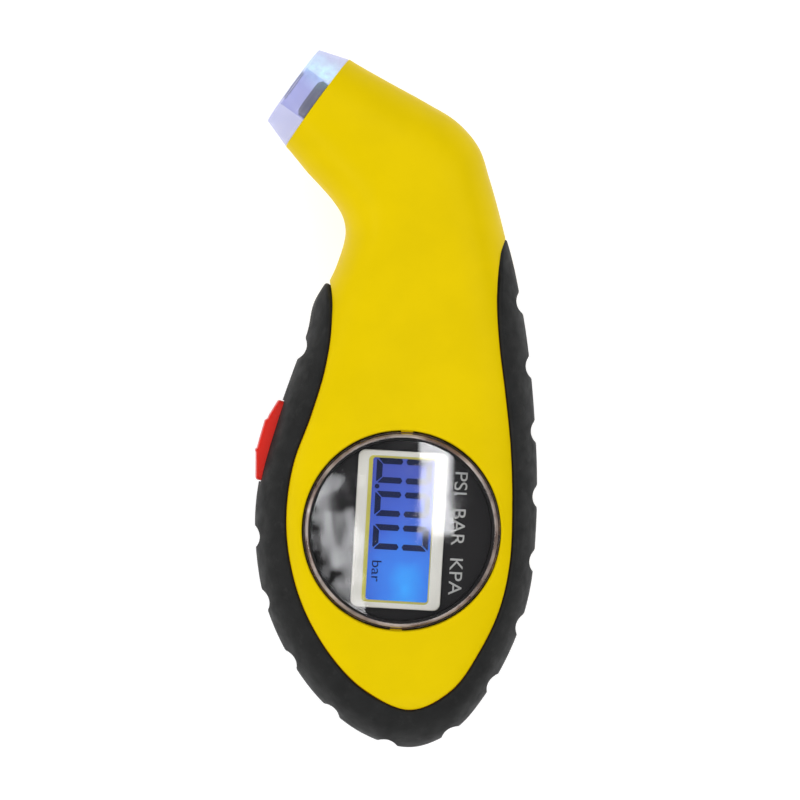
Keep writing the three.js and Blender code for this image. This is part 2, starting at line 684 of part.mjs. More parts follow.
// Bent strip from its edge, given as distance and height, and half its width.
function contactStrip(edge, halfWidth) {
  const side = new THREE.Shape(edge.map(([x, z]) => new THREE.Vector2(x, z)));
  const strip = new THREE.ExtrudeGeometry(side, { depth: 2 * halfWidth, bevelEnabled: false });
  return strip.translate(0, 0, -halfWidth).rotateX(Math.PI / 2);
}

// ---------------------------------------------------------------- assembly

const gauge = new THREE.Group();
gauge.add(nozzleFrame, buttonFrame);

function add(name, shape, material, parent = gauge) {
  const geometry = shape.isBufferGeometry ? shape : toGeometry(shape);
  const mesh = new THREE.Mesh(geometry, material);
  mesh.name = name;
  parent.add(mesh);
}

add('front_shell', frontShell(), yellowAbs);
add('rear_shell', rearShell(), yellowAbs);
add('rubber_grip', rubberGrip(), blackRubber);

add('nozzle_lens', nozzleLens(), clearPlastic, nozzleFrame);
add('nozzle_seal', nozzleSeal(), sealRubber, nozzleFrame);
add('air_inlet', airInlet(), brass, nozzleFrame);
add('valve_pin', valvePin(), steel, nozzleFrame);
add('nozzle_led', nozzleLed(), clearPlastic, nozzleFrame);
add('air_hose', airHose(), whitePlastic);
add('led_wire_1', ledWire(-0.7), redPlastic);
add('led_wire_2', ledWire(0.7), blackPlastic);

add('display_lens', displayLens(), clearPlastic);
add('lens_gasket', lensGasket(), sealRubber);
add('display_card', displayCard(), blackPlastic);
add('lcd_frame', lcdFrame(), whitePlastic);
add('display_holder', displayHolder(), blackPlastic);
const { width: glassWidth, length: glassLength, bottom: glassBottom, top: glassTop } = LCD_GLASS;
const glassX = glassWidth / 2;
const glassY = glassLength / 2;
add('lcd_panel', tilted(box(-glassX, glassX, -glassY, glassY, glassBottom, glassTop)), clearPlastic);
const guide = box(-glassX, glassX - 2, -glassY, glassY, PCB.top + CLEARANCE, glassBottom - CLEARANCE);
add('backlight_panel', tilted(guide), blueLight);
const strip = box(glassX - 1.6, glassX - 0.2, -13, 13, PCB.top + 0.1, glassBottom - 0.1);
add('zebra_strip', tilted(strip), sealRubber);

add('main_pcb', mainPcb(), boardGreen);
add('pressure_sensor', pressureSensor(), blackPlastic);
add('controller_chip', box(-9, -2, -3.4, 3.6, PCB.bottom - 1.3, PCB.bottom - 0.1), blackPlastic);
add('timing_crystal', box(2, 8, -2, 0.4, PCB.bottom - 2.1, PCB.bottom - 0.1), steel);
for (let i = 0; i < 3; i += 1) {
  const y = 3 + 2.6 * i;
  add(`capacitor_${i + 1}`, box(8, 10, y, y + 1.2, PCB.bottom - 1.0, PCB.bottom - 0.1), ceramic);
}
PCB_SCREWS.forEach((place, i) => add(`pcb_screw_${i + 1}`, screw(place, PCB_SCREW), steel));
CASE_SCREWS.forEach((place, i) => add(`case_screw_${i + 1}`, screw(place, CASE_SCREW), steel));

add('power_button', powerButton(), redPlastic, buttonFrame);
add('switch_plunger', switchPlunger(), blackPlastic, buttonFrame);
add('switch_body', switchBody(), steel, buttonFrame);

add('coin_cell', post(COIN.x, COIN.y, COIN.radius, COIN.bottom, COIN.top, 40), steel);
add('battery_cover', batteryCover(), yellowAbs);
add('battery_tray', batteryTray(), whitePlastic);
add('contact_negative', contactNegative(), steel);
add('contact_positive', contactPositive(), steel);
add('battery_wire_1', wire(BATTERY_LEADS[0], 0.45, 8), blackPlastic);
add('battery_wire_2', wire(BATTERY_LEADS[1], 0.45, 8), redPlastic);

export default gauge;
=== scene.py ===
"""Looks of the digital tyre pressure gauge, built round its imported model.

Lengths in the tables are in millimetres and become metres when a mesh is made.
The casing lies on its back: +Z is the display side, +Y runs towards the nozzle.
"""

import json
import math

import bpy
import numpy as np
from mathutils import Matrix, Vector
from mathutils.kdtree import KDTree


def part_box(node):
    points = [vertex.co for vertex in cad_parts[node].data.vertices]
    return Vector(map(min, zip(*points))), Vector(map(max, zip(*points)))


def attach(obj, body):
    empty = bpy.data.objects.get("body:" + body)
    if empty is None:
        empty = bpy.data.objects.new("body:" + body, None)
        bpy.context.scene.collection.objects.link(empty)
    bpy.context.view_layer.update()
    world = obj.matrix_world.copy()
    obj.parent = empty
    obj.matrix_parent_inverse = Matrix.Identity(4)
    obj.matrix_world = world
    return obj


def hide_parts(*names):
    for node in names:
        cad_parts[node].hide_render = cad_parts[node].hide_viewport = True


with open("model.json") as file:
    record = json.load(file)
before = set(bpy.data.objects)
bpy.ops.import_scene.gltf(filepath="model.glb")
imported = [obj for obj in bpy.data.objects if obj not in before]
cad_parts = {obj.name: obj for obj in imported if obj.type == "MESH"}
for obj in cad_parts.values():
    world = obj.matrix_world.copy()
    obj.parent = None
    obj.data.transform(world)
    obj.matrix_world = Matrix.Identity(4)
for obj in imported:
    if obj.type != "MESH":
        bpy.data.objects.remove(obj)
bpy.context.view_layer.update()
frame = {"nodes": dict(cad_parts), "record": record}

MM = 0.001


def box(node):
    """Lowest and highest corners of a CAD node, in millimetres."""
    return np.round(np.array(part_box(node)) / MM, 3)


def middle(node):
    return box(node).mean(axis=0)


def named(rows, name):
    """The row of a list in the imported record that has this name."""
    return next(row for row in rows if row["name"] == name)


def heading(direction):
    """Turn about Z that brings +Y to this direction."""
    return math.atan2(-direction[0], direction[1])


# ------------------------------------------------------------------ driving dimensions, as in the CAD part

MID_Z = middle("nozzle_lens")[2]
GRIP_PROUD = 0.5
END_ROUNDING = 11.0

LOWER_END = (3.2, -69.1, 12.4, 3.6)
RIBS = [  # left x, left y, right x, right y, half thickness, squareness
    (-6.5, -66.3, 11.6, -65.6, 12.8, 3.8),
    (-15.2, -59.2, 17.6, -58.7, 13.6, 4.3),
    (-22.0, -49.2, 23.2, -48.4, 14.3, 4.8),
    (-26.1, -38.5, 26.4, -38.0, 14.5, 5.0),
    (-27.6, -26.0, 27.6, -26.0, 14.5, 5.0),
    (-26.9, -16.8, 27.8, -14.5, 14.5, 5.0),
    (-23.6, -4.8, 27.3, -3.5, 14.5, 4.9),
    (-20.2, 5.0, 26.5, 6.0, 14.4, 4.6),
    (-17.1, 13.2, 25.4, 14.6, 14.2, 4.2),
    (-14.4, 21.0, 23.9, 23.0, 13.8, 3.8),
    (-11.6, 27.2, 22.1, 31.6, 13.3, 3.4),
    (-10.0, 33.2, 20.4, 38.4, 12.8, 3.1),
    (-10.6, 36.5, 18.8, 44.0, 12.4, 2.9),
    (-12.5, 39.6, 16.7, 50.2, 12.0, 2.7),
    (-14.9, 42.4, 12.4, 55.3, 11.6, 2.5),
    (-17.6, 45.3, 6.0, 59.3, 11.2, 2.3),
    (-19.9, 48.1, -1.8, 63.6, 10.8, 2.1),
]
nozzle_front = named(frame["record"]["mounts"], "nozzle_front")
MOUTH = {"radius": 10.8, "turn": heading(nozzle_front["axis"]), "overrun": 6.0}
NOZZLE = {"foot": -6.8, "front": 6.0, "bore": 4.4, "flange": 8.0, "base_radius": 10.7, "front_radius": 8.75}

FACE_EDGE = [
    (23.6, 34.6), (21.3, 29.0), (20.3, 20.5), (20.7, 11.0), (21.9, 1.0), (23.0, -10.0),
    (23.3, -21.0), (22.8, -32.5), (20.7, -41.8), (16.8, -50.0), (11.3, -57.6), (3.0, -61.7),
    (-5.9, -57.8), (-12.4, -51.4), (-18.1, -41.8), (-21.0, -32.0), (-21.7, -23.0), (-20.3, -13.0),
    (-16.8, -3.4), (-14.0, 6.0), (-12.8, 15.0), (-13.6, 24.4),
]
NOTCH = {"first": 69.9, "pitch": 12.9, "count": 16, "radius": 2.9, "depth": 1.0, "softness": 0.04}
NOTCHES_LEFT_OUT = (13, 14)

DISPLAY = {"x": middle("display_lens")[0], "y": middle("display_lens")[1], "tilt": math.radians(-3.3)}
SEAT = {"radius": 19.9, "inner": 17.9, "ledge": 25.9, "bottom": 24.2, "edge": 0.45}
lens_low, lens_high = box("display_lens")
LENS = {"radius": (lens_high[0] - lens_low[0]) / 2, "foot": lens_low[2], "top": lens_high[2], "crown": 0.3}
LENS_STEP = {"radius": 19.25, "height": 27.35, "rim_foot": 28.08, "face_radius": 18.5}
RIM = {"radius": 18.95, "slope": math.radians(26)}  # the rim's inner facet, from this radius up to the face

button_press = named(frame["record"]["behaviour"]["joints"], "button_press")
button_turn = heading([-v for v in button_press["axis"]])
BUTTON = {"x": -25.04, "y": -8.28, "turn": button_turn, "half_length": 8.4, "half_height": 4.5}
SLOT = {"half_width": 8.46, "half_length": 4.56, "corner": 1.05}
SLOT_REACH = 6.0  # how far inwards the button's slot is cut

cover_low, cover_high = box("battery_cover")
COVER = {"x": middle("battery_cover")[0], "y": middle("battery_cover")[1], "bottom": cover_low[2]}
COVER["radius"] = (cover_high[1] - cover_low[1]) / 2
COVER_HOLE = {"radius": 11.2, "notch_turn": math.radians(45)}
COVER_HOLE |= {"notch_reach": 12.7, "notch_half_width": 2.6}
COVER_GROOVE = {"radius": 9.3, "half_width": 0.28, "depth": 0.18}
COIN_SLOT = {"length": 11.0, "width": 1.8, "depth": 0.9}
CASE_SCREWS = [middle(f"case_screw_{number}")[:2] for number in range(1, 6)]
SCREW_HOLE = {"radius": 2.7, "seat": 7.0, "thread": 1.3}
screw_low, screw_high = box("case_screw_1")
SCREW = {"radius": (screw_high[0] - screw_low[0]) / 2, "bottom": screw_low[2]}
SCREW["length"] = screw_high[2] - screw_low[2]

GRID = 0.36  # spacing of the rubber's mesh
EDGE_STEPS = 6  # segments round a rolled edge

# ------------------------------------------------------------------ curves


def centripetal(points, per_span):
    """Samples of a centripetal Catmull-Rom curve through points, with their parameters in spans."""
    p = np.array(points, float)
    p = np.vstack([2 * p[0] - p[1], p, 2 * p[-1] - p[-2]])
    samples, where = [], []
    for i in range(len(points) - 1):
        p0, p1, p2, p3 = p[i : i + 4]
        d0, d1, d2 = (max(np.linalg.norm(b - a) ** 0.5, 1e-6) for a, b in ((p0, p1), (p1, p2), (p2, p3)))
        m1 = ((p1 - p0) / d0 - (p2 - p0) / (d0 + d1) + (p2 - p1) / d1) * d1
        m2 = ((p2 - p1) / d1 - (p3 - p1) / (d1 + d2) + (p3 - p2) / d2) * d1
        t = np.linspace(0, 1, per_span, endpoint=False)[:, None]
        samples.append(
            p1 + m1 * t + (3 * (p2 - p1) - 2 * m1 - m2) * t**2 + (2 * (p1 - p2) + m1 + m2) * t**3
        )
        where.append(i + t[:, 0])
    samples.append(p[-2][None])
    where.append([len(points) - 1])
    return np.vstack(samples), np.concatenate(where)


def tangents(samples):
    steps = np.gradient(samples, axis=0)
    return steps / np.linalg.norm(steps, axis=1)[:, None]


MOUTH_AXIS = np.array([-math.sin(MOUTH["turn"]), math.cos(MOUTH["turn"])])
MOUTH_ACROSS = np.array([math.cos(MOUTH["turn"]), math.sin(MOUTH["turn"])])
MOUTH_CENTRE = np.round(np.array(nozzle_front["pos_m"][:2]) / MM - NOZZLE["front"] * MOUTH_AXIS, 3)
MOUTH_RIB = len(RIBS) + 1
LAST_RIB = MOUTH_RIB + 1


def mouth_ends(side):
    end = MOUTH_CENTRE + side * MOUTH["radius"] * MOUTH_ACROSS
    return [end, end + MOUTH["overrun"] * MOUTH_AXIS]


left_side = [(r[0], r[1]) for r in RIBS] + mouth_ends(-1)
right_side = [(r[2], r[3]) for r in RIBS] + mouth_ends(1)
OUTLINE, outline_where = centripetal(left_side[::-1] + [LOWER_END[:2]] + right_side, 60)
outline_tangent = tangents(OUTLINE)
OUTLINE_INWARD = np.column_stack([-outline_tangent[:, 1], outline_tangent[:, 0]])
OUTLINE_LENGTH = np.concatenate([[0], np.cumsum(np.linalg.norm(np.diff(OUTLINE, axis=0), axis=1))])

sizes = [LOWER_END[2:]] + [r[4:] for r in RIBS] + [(MOUTH["radius"], 2.0)] * 2
SECTIONS, section_where = centripetal(sizes, 60)


def on_outline(rib, side, inset):
    """Points of the outline at these ribs, on side -1 or 1, moved inwards."""
    where = LAST_RIB + side * rib
    pick = lambda table: np.column_stack([np.interp(where, outline_where, table[:, i]) for i in (0, 1)])
    return pick(OUTLINE) + inset * pick(OUTLINE_INWARD)


def casing_point(rib, turn, inset=0.0):
    """Points of the casing's skin at ribs and turns round the section (0 is +X, a quarter is the front)."""
    rib, turn = np.broadcast_arrays(np.asarray(rib, float), np.asarray(turn, float))
    left, right = on_outline(rib, -1, inset), on_outline(rib, 1, inset)
    half_thickness = np.interp(rib, section_where, SECTIONS[:, 0]) - inset
    power = np.interp(rib, section_where, SECTIONS[:, 1])
    bottom = LOWER_END[1] + inset
    rise = np.clip(((left[:, 1] + right[:, 1]) / 2 - bottom) / END_ROUNDING, 0, 1)
    height = half_thickness * np.sqrt(1 - (1 - rise) ** 2)
    across = np.cos(turn)
    up = np.sign(np.sin(turn)) * np.sqrt(np.clip(1 - np.abs(across) ** power, 0, 1))
    centre, half = (left + right) / 2, (right - left) / 2
    return np.column_stack([centre + half * across[:, None], MID_Z + height * up])


def even_ribs(first, last, spacing):
    """Rib parameters from first to last that stand spacing apart along the casing's sides."""
    rib = np.linspace(first, last, 2000)
    step = [np.linalg.norm(np.diff(on_outline(rib, s, 0.0), axis=0), axis=1) for s in (-1, 1)]
    length = np.concatenate([[0], np.cumsum((step[0] + step[1]) / 2)])
    count = max(int(length[-1] / spacing), 4)
    return np.interp(np.linspace(0, length[-1], count + 1), length, rib)


face_edge = [(60.0, 60.0), (34.0, 46.0)] + FACE_EDGE + [(-20.0, 34.0), (-50.0, 62.0)]
FACE_CURVE, _ = centripetal(face_edge, 50)
face_tangent = tangents(FACE_CURVE)
FACE_INWARD = np.column_stack([face_tangent[:, 1], -face_tangent[:, 0]])
face_tree = KDTree(len(FACE_CURVE))
for index, (x, y) in enumerate(FACE_CURVE):
    face_tree.insert((x, y, 0), index)
face_tree.balance()


def inside_face(points):
    """Distance in plan from the edge of the yellow face, positive on the yellow side."""
    result = np.empty(len(points))
    for i, (x, y) in enumerate(points[:, :2]):
        _, nearest, _ = face_tree.find((x, y, 0))
        result[i] = (x - FACE_CURVE[nearest][0]) * FACE_INWARD[nearest][0] + (
            y - FACE_CURVE[nearest][1]
        ) * FACE_INWARD[nearest][1]
    return result


# ------------------------------------------------------------------ mesh tools


class Surface:
    """Vertices and faces that are clipped by functions of place and given rolled edges.

    Every face has the number of its look. It is 0 but for edges that are made with another.
    """

    def __init__(self, points, faces, looks=None):
        self.points = np.asarray(points, float)
        self.faces = [tuple(f) for f in faces]
        self.looks = looks or [0] * len(self.faces)

    @classmethod
    def grid(cls, rows, closed=False):
        """rows: array of rows x columns x 3. Faces turn outwards when columns run right to left."""
        count, width = rows.shape[:2]
        faces = []
        for i in range(count - 1):
            for j in range(width if closed else width - 1):
                k = (j + 1) % width
                faces.append((i * width + j, i * width + k, (i + 1) * width + k, (i + 1) * width + j))
        return cls(rows.reshape(-1, 3), faces)

    def normals(self):
        total = np.zeros_like(self.points)
        for size in sorted({len(f) for f in self.faces}):
            index = np.array([f for f in self.faces if len(f) == size])
            corner = self.points[index]
            normal = np.cross(corner[:, 1] - corner[:, 0], corner[:, 2] - corner[:, 0])
            if size > 3:
                normal = np.cross(corner[:, 2] - corner[:, 0], corner[:, 3] - corner[:, 1])
            for column in range(size):
                np.add.at(total, index[:, column], normal)
        length = np.linalg.norm(total, axis=1)
        return total / np.maximum(length, 1e-12)[:, None]

    def clip(self, value):
        """Keeps where value is positive. Returns the new edge's vertices."""
        amount = value(self.points)
        normal = self.normals()
        points = list(self.points)
        normals = list(normal)
        cuts, kept, looks = {}, [], []

        def cut(a, b):
            key = (a, b) if a < b else (b, a)
            if key not in cuts:
                t = amount[a] / (amount[a] - amount[b])
                points.append(points[a] * (1 - t) + points[b] * t)
                normals.append(normals[a] * (1 - t) + normals[b] * t)
                cuts[key] = len(points) - 1
            return cuts[key]

        inside = amount > 0
        for face, look in zip(self.faces, self.looks):
            flags = [inside[i] for i in face]
            if all(flags):
                kept.append(face)
                looks.append(look)
            elif any(flags):
                ring = []
                for a, b in zip(face, face[1:] + face[:1]):
                    if inside[a]:
                        ring.append(a)
                    if inside[a] != inside[b]:
                        ring.append(cut(a, b))
                if len(ring) > 2:
                    kept.append(tuple(ring))
                    looks.append(look)
        self.points = np.array(points)
        self.faces = kept
        self.looks = looks
        self.last_normals = np.array(normals)
        return set(cuts.values())

    def edges_on(self, chosen):
        """Open edges whose two ends are chosen, in the order that their face runs."""
        seen = {}
        for face in self.faces:
            for a, b in zip(face, face[1:] + face[:1]):
                if a in chosen and b in chosen:
                    key = (a, b) if a < b else (b, a)
                    seen[key] = None if key in seen else (a, b)
        return [edge for edge in seen.values() if edge]

    def skirt(self, chosen, steps, look, first):
        """Adds strips beyond the open edge through chosen, with a look from the first strip that has it on.

        Each step moves the edge's points on.
        """
        edges = self.edges_on(chosen)
        order = sorted({i for edge in edges for i in edge})
        if not order:
            return
        place = {vertex: k for k, vertex in enumerate(order)}
        previous = {vertex: vertex for vertex in order}
        points = self.points[order]
        for number, step in enumerate(steps):
            points = step(points)
            start = len(self.points)
            self.looks += [look if number >= first else 0] * len(edges)
            self.points = np.vstack([self.points, points])
            current = {vertex: start + place[vertex] for vertex in order}
            for a, b in edges:
                self.faces.append((previous[b], previous[a], current[a], current[b]))
            previous = current

    def rolled(self, chosen, value, radius, after, depth, ledge, look):
        """Rolls the edge over with a radius, goes depth straight in, ledge outwards, then the steps after.

        The look starts a third of the way round the roll.
        """
        edges = self.edges_on(chosen)
        order = sorted({i for edge in edges for i in edge})
        if not order:
            return
        points = self.points[order]
        normal = self.last_normals[order]
        normal /= np.linalg.norm(normal, axis=1)[:, None]
        small = 0.02
        slope = np.column_stack(
            [(value(points + d) - value(points - d)) / (2 * small) for d in np.eye(3) * small]
        )
        outward = -slope
        outward -= (outward * normal).sum(1)[:, None] * normal
        outward /= np.maximum(np.linalg.norm(outward, axis=1), 1e-9)[:, None]
        steps = []
        for k in range(1, EDGE_STEPS + 1):
            angle = math.pi / 2 * k / EDGE_STEPS
            out, down = radius * math.sin(angle), radius * (1 - math.cos(angle))
            steps.append(lambda _, out=out, down=down: points + out * outward - down * normal)
        if depth:
            steps.append(lambda _: points + radius * outward - (radius + depth) * normal)
        if ledge:
            steps.append(lambda _: points + (radius + ledge) * outward - (radius + depth) * normal)
        self.skirt(chosen, steps + list(after), look, EDGE_STEPS // 3)


def flat_to(value, axis=2):
    """Step that brings every point to one value along an axis."""

    def step(points):
        points = points.copy()
        points[:, axis] = value
        return points

    return step


def to_circle(x, y, radius, z):
    def step(points):
        away = points[:, :2] - (x, y)
        away *= radius / np.linalg.norm(away, axis=1)[:, None]
        return np.column_stack([away + (x, y), np.full(len(points), z)])

    return step


def outside_circle(x, y, radius):
    return lambda points: np.hypot(points[:, 0] - x, points[:, 1] - y) - radius


def within_circle(radius):
    return lambda points: radius - np.hypot(points[:, 0], points[:, 1])


def beyond_rectangle(u, v, half_width, half_length, corner):
    """Distance outside a rounded rectangle about the origin, negative inside it."""
    across = np.abs(u) - half_width + corner
    along = np.abs(v) - half_length + corner
    outside = np.hypot(np.maximum(across, 0), np.maximum(along, 0))
    return outside + np.minimum(np.maximum(across, along), 0) - corner


def outside_rectangle(half_width, half_length, corner):
    return lambda points: beyond_rectangle(points[:, 0], points[:, 1], half_width, half_length, corner)


def turned(profile, segments):
    """Surface turned about Z. The profile's (radius, height) points run from the foot outwards and up."""
    profile = np.array(profile, float)
    angle = np.linspace(0, 2 * math.pi, segments, endpoint=False)
    rows = np.stack(
        [
            profile[:, :1] * np.cos(angle),
            profile[:, :1] * np.sin(angle),
            np.repeat(profile[:, 1:2], segments, axis=1),
        ],
        axis=-1,
    )
    return Surface.grid(rows, closed=True)


def turned_ring(outline, radius, steps, segments):
    """Ring turned about Z from a closed outline whose corners are rounded."""
    loop = rounded(outline, radius, steps, closed=True)
    return turned(np.vstack([loop, loop[:1]]), segments)


def lofted(loops):
    """Ring of closed loops: the last one joins the first."""
    loops = np.array(loops, float)
    return Surface.grid(np.concatenate([loops, loops[:1]]), closed=True)


def rounded(points, radius, steps=4, closed=False):
    """Polyline with its corners rounded. A third number in a point is that corner's own radius."""
    result = []
    count = len(points)
    for i, point in enumerate(points):
        here = np.array(point[:2], float)
        if not closed and i in (0, count - 1):
            result.append(here)
            continue
        size = point[2] if len(point) > 2 else radius
        before = np.array(points[i - 1][:2], float) - here
        after = np.array(points[(i + 1) % count][:2], float) - here
        room = min(np.linalg.norm(before), np.linalg.norm(after))
        before /= np.linalg.norm(before)
        after /= np.linalg.norm(after)
        half = math.acos(max(min(before @ after, 1), -1)) / 2
        reach = min(size / max(math.tan(half), 0.05), 0.48 * room)
        if reach < 0.01:
            result.append(here)
            continue
        for t in np.linspace(0, 1, steps + 1):
            result.append(here + reach * ((1 - t) ** 2 * before + t**2 * after))
    return np.array(result)


def rounded_rectangle(width, length, corner, height, arc=6):
    """Loop of points, counterclockwise, at a height."""
    points = []
    for quarter in range(4):
        cx = (width / 2 - corner) * (1 if quarter in (0, 3) else -1)
        cy = (length / 2 - corner) * (1 if quarter in (0, 1) else -1)
        for t in np.linspace(0, math.pi / 2, arc + 1):
            angle = quarter * math.pi / 2 + t
            points.append((cx + corner * math.cos(angle), cy + corner * math.sin(angle), height))
    return points


def merged(surfaces):
    points, faces, looks = [], [], []
    for surface in surfaces:
        start = len(points)
        points.extend(surface.points.tolist())
        faces.extend(tuple(i + start for i in face) for face in surface.faces)
        looks.extend(surface.looks)
    return Surface(points, faces, looks)


def prism(outline, bottom, top):
    """Closed upright slab on a counterclockwise outline."""
    count = len(outline)
    points = [(x, y, z) for z in (bottom, top) for x, y in outline]
    faces = [(i, (i + 1) % count, count + (i + 1) % count, count + i) for i in range(count)]
    faces += [tuple(range(count - 1, -1, -1)), tuple(range(count, 2 * count))]
    return Surface(points, faces)


def add_piece(name, mesh, body, slot, at):
    piece = bpy.data.objects.new(name, mesh)
    bpy.context.scene.collection.objects.link(piece)
    if at is not None:
        piece.matrix_world = at
    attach(piece, body)
    return piece


def put(surface, name, looks, slot, nodes=(), at=None, body="casing", sharp=40.0, part_of=None):
    """Makes a piece from a surface, at a frame of its own if given, and hides the CAD nodes that it stands
    for.

    Points that fall together are welded. part_of says which look a face has that was made without one.
    """
    points = np.round(surface.points, 5)
    unique, place = np.unique(points, axis=0, return_inverse=True)
    place = place.ravel()
    polygons, tags = [], []
    for face, look in zip(surface.faces, surface.looks):
        ring = [int(place[i]) for i in face]
        ring = [a for a, b in zip(ring, ring[1:] + ring[:1]) if a != b]
        if len(set(ring)) == len(ring) > 2:
            polygons.append(ring)
            tags.append(part_of(surface.points[list(face)].mean(0)) if part_of and not look else look)
    used = sorted({i for ring in polygons for i in ring})
    order = {vertex: k for k, vertex in enumerate(used)}
    mesh = bpy.data.meshes.new(name)
    mesh.from_pydata(
        (unique[used] * MM).tolist(), [], [[order[i] for i in ring] for ring in polygons]
    )
    for look in looks:
        mesh.materials.append(look)
    mesh.polygons.foreach_set("use_smooth", [True] * len(mesh.polygons))
    mesh.polygons.foreach_set("material_index", tags)
    mesh.update()
    mesh.set_sharp_from_angle(angle=math.radians(sharp))
    piece = add_piece(name, mesh, body, slot, at)
    if nodes:
        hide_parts(*nodes)


def frame_at(x, y, z, turn=0.0, flip=0.0):
    return (
        Matrix.Translation(Vector((x, y, z)) * MM)
        @ Matrix.Rotation(turn, 4, "Z")
        @ Matrix.Rotation(flip, 4, "X")
    )


# ------------------------------------------------------------------ materials


class Look:
    """Node material whose detail lies in the piece's own coordinates."""

    def __init__(self, name, colour=(0.5, 0.5, 0.5), roughness=0.5, specular=0.5, metallic=0.0):
        self.material = bpy.data.materials.new(name)
        self.material.use_nodes = True
        self.tree = self.material.node_tree
        self.shader = self.tree.nodes["Principled BSDF"]
        self.output = self.tree.nodes["Material Output"]
        self.set("Base Color", colour)
        self.set("Roughness", roughness)
        self.set("Specular IOR Level", specular)
        self.set("Metallic", metallic)
        self.place = self.node("ShaderNodeTexCoord").outputs["Object"]

    def fill(self, target, value):
        """Gives a socket a value or another node's output. Colours leave out their alpha."""
        if isinstance(value, bpy.types.NodeSocket):
            self.tree.links.new(value, target)
        else:
            target.default_value = (*value, 1) if target.type == "RGBA" else value

    def set(self, socket, value):
        self.fill(self.shader.inputs[socket], value)

    def node(self, kind, inputs=(), **settings):
        made = self.tree.nodes.new(kind)
        for key, value in settings.items():
            setattr(made, key, value)
        for socket, value in dict(inputs).items():
            self.fill(made.inputs[socket], value)
        return made

    def stretched(self, scale):
        return self.node("ShaderNodeMapping", {"Vector": self.place, "Scale": scale}).outputs["Vector"]

    def noise(self, size, detail=2.0, rough=0.5, stretch=None):
        """Noise with features about size millimetres across."""
        place = self.stretched(stretch) if stretch else self.place
        inputs = {"Vector": place, "Scale": 1 / (size * MM), "Detail": detail, "Roughness": rough}
        return self.node("ShaderNodeTexNoise", inputs).outputs["Fac"]

    def cells(self, size, place=None, **settings):
        """Distances within cells about size millimetres across."""
        inputs = {"Vector": place or self.place, "Scale": 1 / (size * MM)}
        return self.node("ShaderNodeTexVoronoi", inputs, **settings).outputs["Distance"]

    def remap(self, value, low, high, to_low=0.0, to_high=1.0):
        inputs = {"Value": value, "From Min": low, "From Max": high, "To Min": to_low, "To Max": to_high}
        return self.node("ShaderNodeMapRange", inputs).outputs["Result"]

    def math(self, operation, a, b=0.0):
        return self.node("ShaderNodeMath", {0: a, 1: b}, operation=operation).outputs[0]

    def mixed(self, factor, a, b):
        return self.node("ShaderNodeMix", {0: factor, 6: a, 7: b}, data_type="RGBA").outputs[2]

    def transparent(self, tint):
        return self.node("ShaderNodeBsdfTransparent", {"Color": tint}).outputs[0]

    def blended(self, factor, a, b):
        return self.node("ShaderNodeMixShader", {0: factor, 1: a, 2: b}).outputs[0]

    def show(self, shader):
        self.fill(self.output.inputs["Surface"], shader)

    def mottle(self, noise, low, high, dark, pale):
        """Colours the piece from dark to pale where a noise runs from low to high."""
        self.set("Base Color", self.mixed(self.remap(noise, low, high), dark, pale))

    def rub(self, noise, smooth, rough):
        """Lets the roughness wander with a noise."""
        self.set("Roughness", self.remap(noise, 0.3, 0.7, smooth, rough))

    def bump(self, height, depth, normal=None):
        inputs = {"Height": height, "Distance": depth * MM, "Strength": 1.0}
        if normal is not None:
            inputs["Normal"] = normal
        return self.node("ShaderNodeBump", inputs).outputs["Normal"]

    def relief(self, *layers):
        """Each layer is (height from 0 to 1, depth in millimetres)."""
        normal = None
        for height, depth in layers:
            normal = self.bump(height, depth, normal)
        self.set("Normal", normal)


def shade(colour, amount):
    return tuple(min(c * amount, 1.0) for c in colour)


def moulded(name, colour, roughness, grain=0.5, depth=0.004, spread=0.05, specular=0.4):
    """Injection-moulded plastic: faint flow clouds, a fine spark-eroded grain and handling marks."""
    look = Look(name, colour, roughness, specular)
    clouds = look.remap(look.noise(11.0, 3.0), 0.35, 0.65)
    toned = look.mixed(clouds, shade(colour, 1 - spread), shade(colour, 1 + spread / 2))
    specks = look.remap(look.noise(0.35, 2.0), 0.62, 0.8, 0.0, 0.35)
    look.set("Base Color", look.mixed(specks, toned, shade(colour, 0.88)))
    scuffs = look.noise(1.4, 4.0, 0.6, stretch=(1.0, 0.12, 1.0))
    marks = look.remap(scuffs, 0.58, 0.75, 0.0, 0.09)
    base = look.remap(look.noise(4.0, 3.0), 0.3, 0.7, roughness - 0.04, roughness + 0.05)
    look.set("Roughness", look.math("ADD", base, marks))
    look.relief((look.noise(grain, 3.0), depth), (look.noise(grain * 0.22, 2.0), depth * 0.35))
    return look.material


def rubber(name, colour, grain=0.28, depth=0.016):
    """Soft moulded rubber: matt, sparked grain, dust in random patches and rubbed spots."""
    look = Look(name, colour, 0.66, specular=0.2)
    clouds = look.remap(look.noise(7.0, 4.0), 0.35, 0.65)
    toned = look.mixed(clouds, shade(colour, 0.86), shade(colour, 1.12))
    dust = look.remap(look.noise(2.6, 6.0, 0.7), 0.55, 0.8, 0.0, 0.16)
    look.set("Base Color", look.mixed(dust, toned, (0.10, 0.098, 0.092)))
    look.rub(look.noise(3.0, 4.0), 0.56, 0.76)
    look.relief((look.cells(grain), depth), (look.noise(0.09, 2.0), depth * 0.4))
    return look.material


def metal(name, colour, roughness):
    """Plated or turned metal with fine tool lines and slight tarnish."""
    look = Look(name, colour, roughness, metallic=1.0)
    look.mottle(look.noise(2.2, 4.0, 0.6), 0.42, 0.72, colour, shade(colour, 0.72))
    look.rub(look.noise(0.8, 3.0), roughness - 0.07, roughness + 0.12)
    look.relief((look.noise(0.22, 2.0, stretch=(1.0, 1.0, 8.0)), 0.006))
    return look.material


